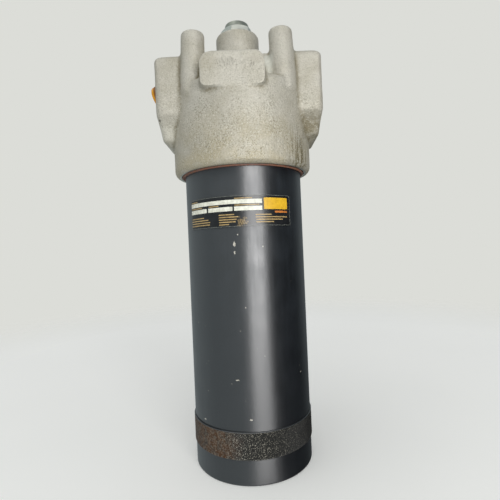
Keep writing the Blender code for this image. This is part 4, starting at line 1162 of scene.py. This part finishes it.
def label_pieces(settings, bowl):
    """The black film and, on it, blank white fields, a yellow block, plain bars and a thin border."""
    start, end = math.degrees(settings.start), math.degrees(settings.end)
    tall = LABEL_TALL / MM
    inner = bowl.radius + 0.3 * MM
    ink = inner + settings.sheet + 0.01 * MM
    film = label_patch(start, end, 0, tall, inner, settings.sheet)
    tan = []
    for top, bars in BAR_GROUPS:
        for row, (left, right) in enumerate(bars):
            tan.append((left, right, top + BAR_SPACING * row, BAR_HEIGHT))
    tan += FIELD_BARS
    # The border's four sides
    left, right, thin = start + 0.3, end - 0.3, 0.25
    line = [(left, right, thin, thin), (left, right, tall - 2 * thin, thin)]
    line += [(left, left + 0.3, thin, tall - 2 * thin), (right - 0.3, right, thin, tall - 2 * thin)]
    fields = (
        ("label_white_fields", WHITE_FIELDS, settings.white, "#8E8B78"),
        ("label_yellow_block", YELLOW_BLOCK, settings.yellow, "#B98C18"),
        ("label_orange_bar", ORANGE_BAR, settings.orange, "#7A4A22"),
        ("label_tan_bars", tan, settings.tan, "#5A4C34"),
        ("label_border", line, settings.line, "#3C3E3C"),
    )
    sheet = solid("label_film", film)
    material = scratched_film(settings, inner)
    made = [finished(sheet, [material], "bowl", "label_film", "data_label")]
    for name, patches, base, worn in fields:
        shapes = [label_patch(*patch, ink, settings.ink) for patch in patches]
        material = plain_mottled(name + "_ink", base, 0.4, 2.5, linear(worn), 0.45, 0.01)
        made.append(finished(solid(name, *shapes), [material], "bowl", "label_film"))
    return made


# Plugs and inner pieces


def top_plug_piece(settings):
    """The hexagon plug with a turned crown; a turned cone takes the hexagon's corners off."""
    low, high = PLUG_LOW.z, PLUG_HIGH.z
    foot = BOSS_TOP_Z + 0.3 * MM
    hex_top = foot + settings.hex_height
    crown = settings.crown_radius
    corner = settings.hex_flats / math.sqrt(3)
    hexagon = solid("plug_hexagon", turned([(corner, hex_top), (corner, foot)], 6))
    hexagon.data.transform(Matrix.Rotation(math.radians(12), 4, "Z"))
    flats = settings.hex_flats / 2
    wide = corner + 0.4 * MM
    guard = [(flats - 0.4 * MM, hex_top + 0.1 * MM), (wide, hex_top - 1.6 * MM)]
    guard += [(wide, foot + 0.9 * MM), (flats + 0.2 * MM, foot - 0.1 * MM)]
    cut(hexagon, [solid("hexagon_guard", turned(guard, 96))], "INTERSECT")
    # The crown, the groove under it, the neck and the shank in the boss
    edge, groove, neck, shank = 0.9 * MM, crown - 0.6 * MM, 9.6 * MM, 11 * MM
    neck_top, shank_top = foot + 3 * MM, BOSS_TOP_Z - 3 * MM
    profile = arc((crown - edge, high - edge), edge, 90, 0)
    profile += [(crown, hex_top + 1.0 * MM), (groove, hex_top + 0.8 * MM), (groove, neck_top)]
    profile += [(neck, neck_top), (neck, shank_top), (shank, shank_top), (shank, low)]
    plug = solid("hexagon_plug", turned(profile, 96))
    cut(plug, [hexagon], "UNION")
    key = settings.socket_radius
    cut(plug, [solid("plug_socket", turned([(key, high + 1 * MM), (key, high - 6 * MM)], 6))])
    darker_crown = (hex_top, settings.crown)
    material = zinc_plate("zinc_plated_steel", settings.zinc, 0.34, 0.5, settings.zinc_dull, darker_crown)
    return finished(plug, [material], "head", "plug_steel", "top_plug", sharp=25)


def port_plug_piece(settings):
    """The plastic cup with its flange and three sealing ribs."""
    out = -PORT_PLUG_LOW.x - PORT_FACE
    inside = PORT_FACE + PORT_PLUG_HIGH.x
    lip = (PORT_PLUG_HIGH.y - PORT_PLUG_LOW.y) / 2 - settings.port_flange_inset
    wide, wall = 9.9 * MM, 1.4 * MM
    thick = settings.port_flange
    edge = 0.9 * MM
    profile = [(wide - wall, out)] + arc((lip - edge, out - edge), edge, 90, 0, 5)
    profile += arc((lip - edge, out - thick + edge), edge, 0, -90, 5) + [(wide, out - thick)]
    between = wide - 0.25 * MM
    for index in range(3):
        level = out - thick - (3.2 + 3.4 * index) * MM
        profile += [(between, level + 1.0 * MM), (wide, level + 0.3 * MM), (between, level - 0.4 * MM)]
    # The closed end, round a hole that a disc fills, since a ring has no middle
    tip, hub = wide - 0.6 * MM, 2 * MM
    profile += [(tip, -inside + 0.7 * MM), (tip - 0.7 * MM, -inside), (hub, -inside)]
    profile += [(hub, -inside + wall), (tip - wall, -inside + wall)]
    profile.append(profile[0])
    ring = turned(profile, 96)
    disc = hub + 0.02 * MM
    middle = turned([(disc, -inside + wall), (disc, -inside)], 96)
    turn = Matrix.Translation((-PORT_FACE, 0, PORT_Z)) @ Matrix.Rotation(-math.pi / 2, 4, "Y")
    plug = solid("plastic_port_plug", placed(ring, turn))
    cut(plug, [solid("plug_middle", placed(middle, turn))], "UNION")
    # Pushed in askew: the flange leans, and the neck follows it down to the port's face
    aside, upward = math.tan(settings.port_plug_turn), math.tan(settings.port_plug_tilt)
    for vertex in plug.data.vertices:
        outside = min(1, max(0, (-PORT_FACE - vertex.co.x) / (out - thick)))
        lean = vertex.co.y * aside - (vertex.co.z - PORT_Z) * upward
        vertex.co.x += outside * (settings.port_plug_sunk + lean)
    return finished(plug, [moulded_polyethylene(settings)], "port_plug", "orange_plastic", "port_plug")


def dress_inner_nodes(settings):
    """The finishes of the seals, the element and the bypass valve."""
    rubber = plain_mottled("nitrile_rubber", settings.rubber, 0.45, 3, linear("#2A2A2A"), 0.5, 0.02)
    resin = plain_mottled("backing_ring_resin", settings.resin, 0.4, 5, linear("#C9C2A8"), 0.4, 0.02)
    fibre = plain_mottled("glass_fibre_sheet", settings.fibre, 0.9, 1.2, linear("#BDB594"), 0.5, 0.10)
    spring = zinc_plate("oiled_spring_steel", settings.spring, 0.35, 0.4, linear("#3A3632"))
    sheet = zinc_plate("tinned_steel_sheet", settings.sheet, 0.32, 0.8, linear("#8D8F8A"))
    turned_steel = zinc_plate("turned_steel", settings.zinc, 0.28, 0.3, linear("#8F9893"))
    finishes = (
        (rubber, ("top_plug_o_ring", "bowl_o_ring", "element_o_ring")),
        (resin, ("bowl_backup_ring",)),
        (fibre, ("element_media",)),
        (spring, ("element_spring", "bypass_spring", "bypass_snap_ring")),
        (sheet, ("element_top_cap", "element_bottom_cap", "element_core", "spring_plate")),
        (turned_steel, ("bypass_body", "bypass_poppet", "bypass_retainer")),
    )
    for material, names in finishes:
        for name in names:
            materials = frame["nodes"][name].data.materials
            materials.clear()
            materials.append(material)


# Stage

LAMPS = (
    # Name, place, the point that it faces and its size in metres, and its power in watts
    ("front_strip", (0.385, -1.08, 0.25), (0, 0, 0.20), (0.66, 0.48), 11),
    ("top_box", (-0.5, -0.5, 1.5), (0, 0, 0.2), (1.2, 1.2), 4),
)


def make_floor(settings):
    """A wide pale floor that fades out far away. Reflections pass through it, to the room."""
    reach, steps = 9.0, 96
    turns = [FULL_TURN * index / steps for index in range(steps)]
    rim = [(reach * math.cos(turn), reach * math.sin(turn), 0) for turn in turns]
    floor = solid("floor", (rim, [tuple(range(steps))]))
    material, tree, shader, place = new_material("matt_floor", settings.ground, 0.9)
    mottle = product(tree, speckle(tree, place, 180, 0.3, 0.8, 3.0), 0.15)
    sockets = {0: mottle, 6: settings.ground, 7: settings.ground_mottle}
    tone = node(tree, "Mix", sockets, out=2, data_type="RGBA")
    tree.links.new(tone, shader.inputs["Base Color"])
    rays = node(tree, "LightPath").node.outputs
    # It is lifted a little to the eye, more so far away, where the lamps fall off
    far = node(tree, "VectorMath", {0: place}, out="Value", operation="LENGTH")
    sockets = {"Value": far, "From Min": 0.1, "From Max": 0.6, "To Min": 0.12, "To Max": 0.21}
    lift = product(tree, rays["Is Camera Ray"], node(tree, "MapRange", sockets))
    shader.inputs["Emission Color"].default_value = (1, 1, 1, 1)
    tree.links.new(lift, shader.inputs["Emission Strength"])
    # The fade is nearer in front, where the lamp stands over the floor
    moved = node(tree, "VectorMath", {0: place, 1: (0, -0.25, 0)}, operation="ADD")
    away = node(tree, "VectorMath", {0: moved}, out="Value", operation="LENGTH")
    sockets = {"Value": away, "From Min": 0.36, "From Max": 0.85}
    edge = node(tree, "MapRange", sockets, interpolation_type="SMOOTHSTEP")
    unseen = node(tree, "Math", {0: rays["Is Glossy Ray"], 1: edge}, operation="MAXIMUM")
    clear = node(tree, "BsdfTransparent")
    mixed = node(tree, "MixShader", {0: unseen, 1: shader.outputs[0], 2: clear})
    tree.links.new(mixed, tree.nodes["Material Output"].inputs["Surface"])
    floor.data.materials.append(material)


def lamp(name, place, target, size, power):
    """A soft rectangular lamp that faces a point."""
    data = bpy.data.lights.new(name, "AREA")
    data.shape = "RECTANGLE"
    data.size, data.size_y = size
    data.energy = power
    thing = bpy.data.objects.new(name, data)
    thing.location = place
    facing = Vector(target) - Vector(place)
    thing.rotation_euler = facing.to_track_quat("-Z", "Y").to_euler()
    bpy.context.scene.collection.objects.link(thing)


def make_world(settings):
    """A pale room: bright behind and on the left, dark on the right and darker below."""
    world = bpy.data.worlds.new("studio")
    bpy.context.scene.world = world
    world.use_nodes = True
    tree = world.node_tree
    tree.nodes.clear()
    across, depth, up = node(tree, "SeparateXYZ", {0: node(tree, "TexCoord")}).node.outputs
    # In front of the filter: pale on the left, and on the right pale only overhead
    sockets = {"Value": up, "From Min": 0.26, "From Max": 0.5, "To Min": 0.04, "To Max": 0.5}
    overhead = node(tree, "MapRange", sockets)
    sockets = {"Value": across, "From Min": -0.25, "From Max": 0.35, "To Min": 0.57, "To Max": overhead}
    front = node(tree, "MapRange", sockets, interpolation_type="SMOOTHSTEP")
    # Behind it: bright on the left, and on the right darker below
    sockets = {"Value": up, "From Min": -0.45, "From Max": 0.25, "To Min": 0.08, "To Max": 0.55}
    low = node(tree, "MapRange", sockets)
    sockets = {"Value": across, "From Min": -0.3, "From Max": 0.5}
    side = node(tree, "MapRange", sockets, interpolation_type="SMOOTHSTEP")
    back = node(tree, "Mix", {0: side, 2: 0.68, 3: low})
    # The two meet along a slanting line
    slanting = node(tree, "Math", {0: depth, 1: product(tree, across, -0.32)}, operation="ADD")
    sockets = {"Value": slanting, "From Min": 0.0, "From Max": 0.55}
    behind = node(tree, "MapRange", sockets, interpolation_type="SMOOTHSTEP")
    strength = node(tree, "Mix", {0: behind, 2: front, 3: back})
    # Reflections see a cooler room than matt surfaces do, and the camera sees a plain backdrop
    rays = node(tree, "LightPath").node.outputs
    sockets = {0: rays["Is Glossy Ray"], 6: settings.room, 7: settings.room_reflected}
    tint = node(tree, "Mix", sockets, out=2, data_type="RGBA")
    room = node(tree, "Background", {"Color": tint, "Strength": strength})
    seen = node(tree, "Background", {"Color": settings.backdrop, "Strength": 1.0})
    mixed = node(tree, "MixShader", {0: rays["Is Camera Ray"], 1: room, 2: seen})
    node(tree, "OutputWorld", {"Surface": mixed})


def make_camera(settings):
    """The photo's wide view, square to the axis and close to it."""
    data = bpy.data.cameras.new("camera")
    data.lens = settings.lens
    data.clip_start = 0.01
    camera = bpy.data.objects.new("camera", data)
    back = Vector((math.sin(settings.azimuth), -math.cos(settings.azimuth), 0))
    aside = Vector((-back.y, back.x, 0))
    camera.location = back * settings.camera_distance + aside * settings.camera_aside
    camera.location.z = settings.camera_height
    camera.rotation_euler = (math.pi / 2, settings.roll, settings.azimuth)
    bpy.context.scene.collection.objects.link(camera)
    bpy.context.scene.camera = camera


# Operators


class PRESSURE_FILTER_OT_head(bpy.types.Operator):
    """Build the cast head and machine its ports, seats and threads"""

    bl_idname = "pressure_filter.head"
    bl_label = "Cast head"

    def execute(self, context):
        make_head(context.scene.filter_head_settings, context.scene.filter_bowl_settings)
        return {"FINISHED"}


class PRESSURE_FILTER_OT_bowl(bpy.types.Operator):
    """Build the painted bowl with its knurled band, and the wiper ring above it"""

    bl_idname = "pressure_filter.bowl"
    bl_label = "Bowl and wiper ring"

    def execute(self, context):
        bowl_piece(context.scene.filter_bowl_settings)
        ring_piece(context.scene.filter_bowl_settings)
        return {"FINISHED"}


class PRESSURE_FILTER_OT_label(bpy.types.Operator):
    """Build the data label and its blank printed fields"""

    bl_idname = "pressure_filter.label"
    bl_label = "Data label"

    def execute(self, context):
        label_pieces(context.scene.filter_label_settings, context.scene.filter_bowl_settings)
        return {"FINISHED"}


class PRESSURE_FILTER_OT_plugs(bpy.types.Operator):
    """Build the steel top plug and the plastic port plug"""

    bl_idname = "pressure_filter.plugs"
    bl_label = "Plugs"

    def execute(self, context):
        top_plug_piece(context.scene.filter_fitting_settings)
        port_plug_piece(context.scene.filter_fitting_settings)
        return {"FINISHED"}


class PRESSURE_FILTER_OT_inner(bpy.types.Operator):
    """Finish the seals, the element and the bypass valve"""

    bl_idname = "pressure_filter.inner"
    bl_label = "Inner pieces"

    def execute(self, context):
        dress_inner_nodes(context.scene.filter_fitting_settings)
        return {"FINISHED"}


class PRESSURE_FILTER_OT_stage(bpy.types.Operator):
    """Set up the floor, the lamps, the world and the camera"""

    bl_idname = "pressure_filter.stage"
    bl_label = "Stage"

    def execute(self, context):
        settings = context.scene.filter_stage_settings
        make_floor(settings)
        make_world(settings)
        for row in LAMPS:
            lamp(*row)
        make_camera(settings)
        context.scene.view_settings.view_transform = "Standard"
        return {"FINISHED"}


class PRESSURE_FILTER_PT_panel(bpy.types.Panel):
    """Lists the pieces, and the sizes and colours of each"""

    bl_idname = "PRESSURE_FILTER_PT_panel"
    bl_label = "Pressure filter"
    bl_space_type = "VIEW_3D"
    bl_region_type = "UI"
    bl_category = "Filter"

    def draw(self, context):
        for operator in OPERATORS:
            self.layout.operator(operator.bl_idname)
        for name, group in SETTINGS:
            box = self.layout.box()
            box.label(text=group.__doc__)
            for size in group.__annotations__:
                box.prop(getattr(context.scene, name), size)


OPERATORS = (
    PRESSURE_FILTER_OT_head,
    PRESSURE_FILTER_OT_bowl,
    PRESSURE_FILTER_OT_label,
    PRESSURE_FILTER_OT_plugs,
    PRESSURE_FILTER_OT_inner,
    PRESSURE_FILTER_OT_stage,
)
SETTINGS = (
    ("filter_head_settings", CastHeadSettings),
    ("filter_bowl_settings", BowlSettings),
    ("filter_label_settings", LabelSettings),
    ("filter_fitting_settings", FittingSettings),
    ("filter_stage_settings", StageSettings),
)


def register():
    for name, group in SETTINGS:
        bpy.utils.register_class(group)
        setattr(bpy.types.Scene, name, PointerProperty(type=group))
    for kind in (*OPERATORS, PRESSURE_FILTER_PT_panel):
        bpy.utils.register_class(kind)


def unregister():
    for kind in (PRESSURE_FILTER_PT_panel, *reversed(OPERATORS)):
        bpy.utils.unregister_class(kind)
    for name, group in reversed(SETTINGS):
        delattr(bpy.types.Scene, name)
        bpy.utils.unregister_class(group)


def main():
    register()
    bpy.ops.pressure_filter.head()
    bpy.ops.pressure_filter.bowl()
    bpy.ops.pressure_filter.label()
    bpy.ops.pressure_filter.plugs()
    bpy.ops.pressure_filter.inner()
    bpy.ops.pressure_filter.stage()


if __name__ == "__main__":
    main()
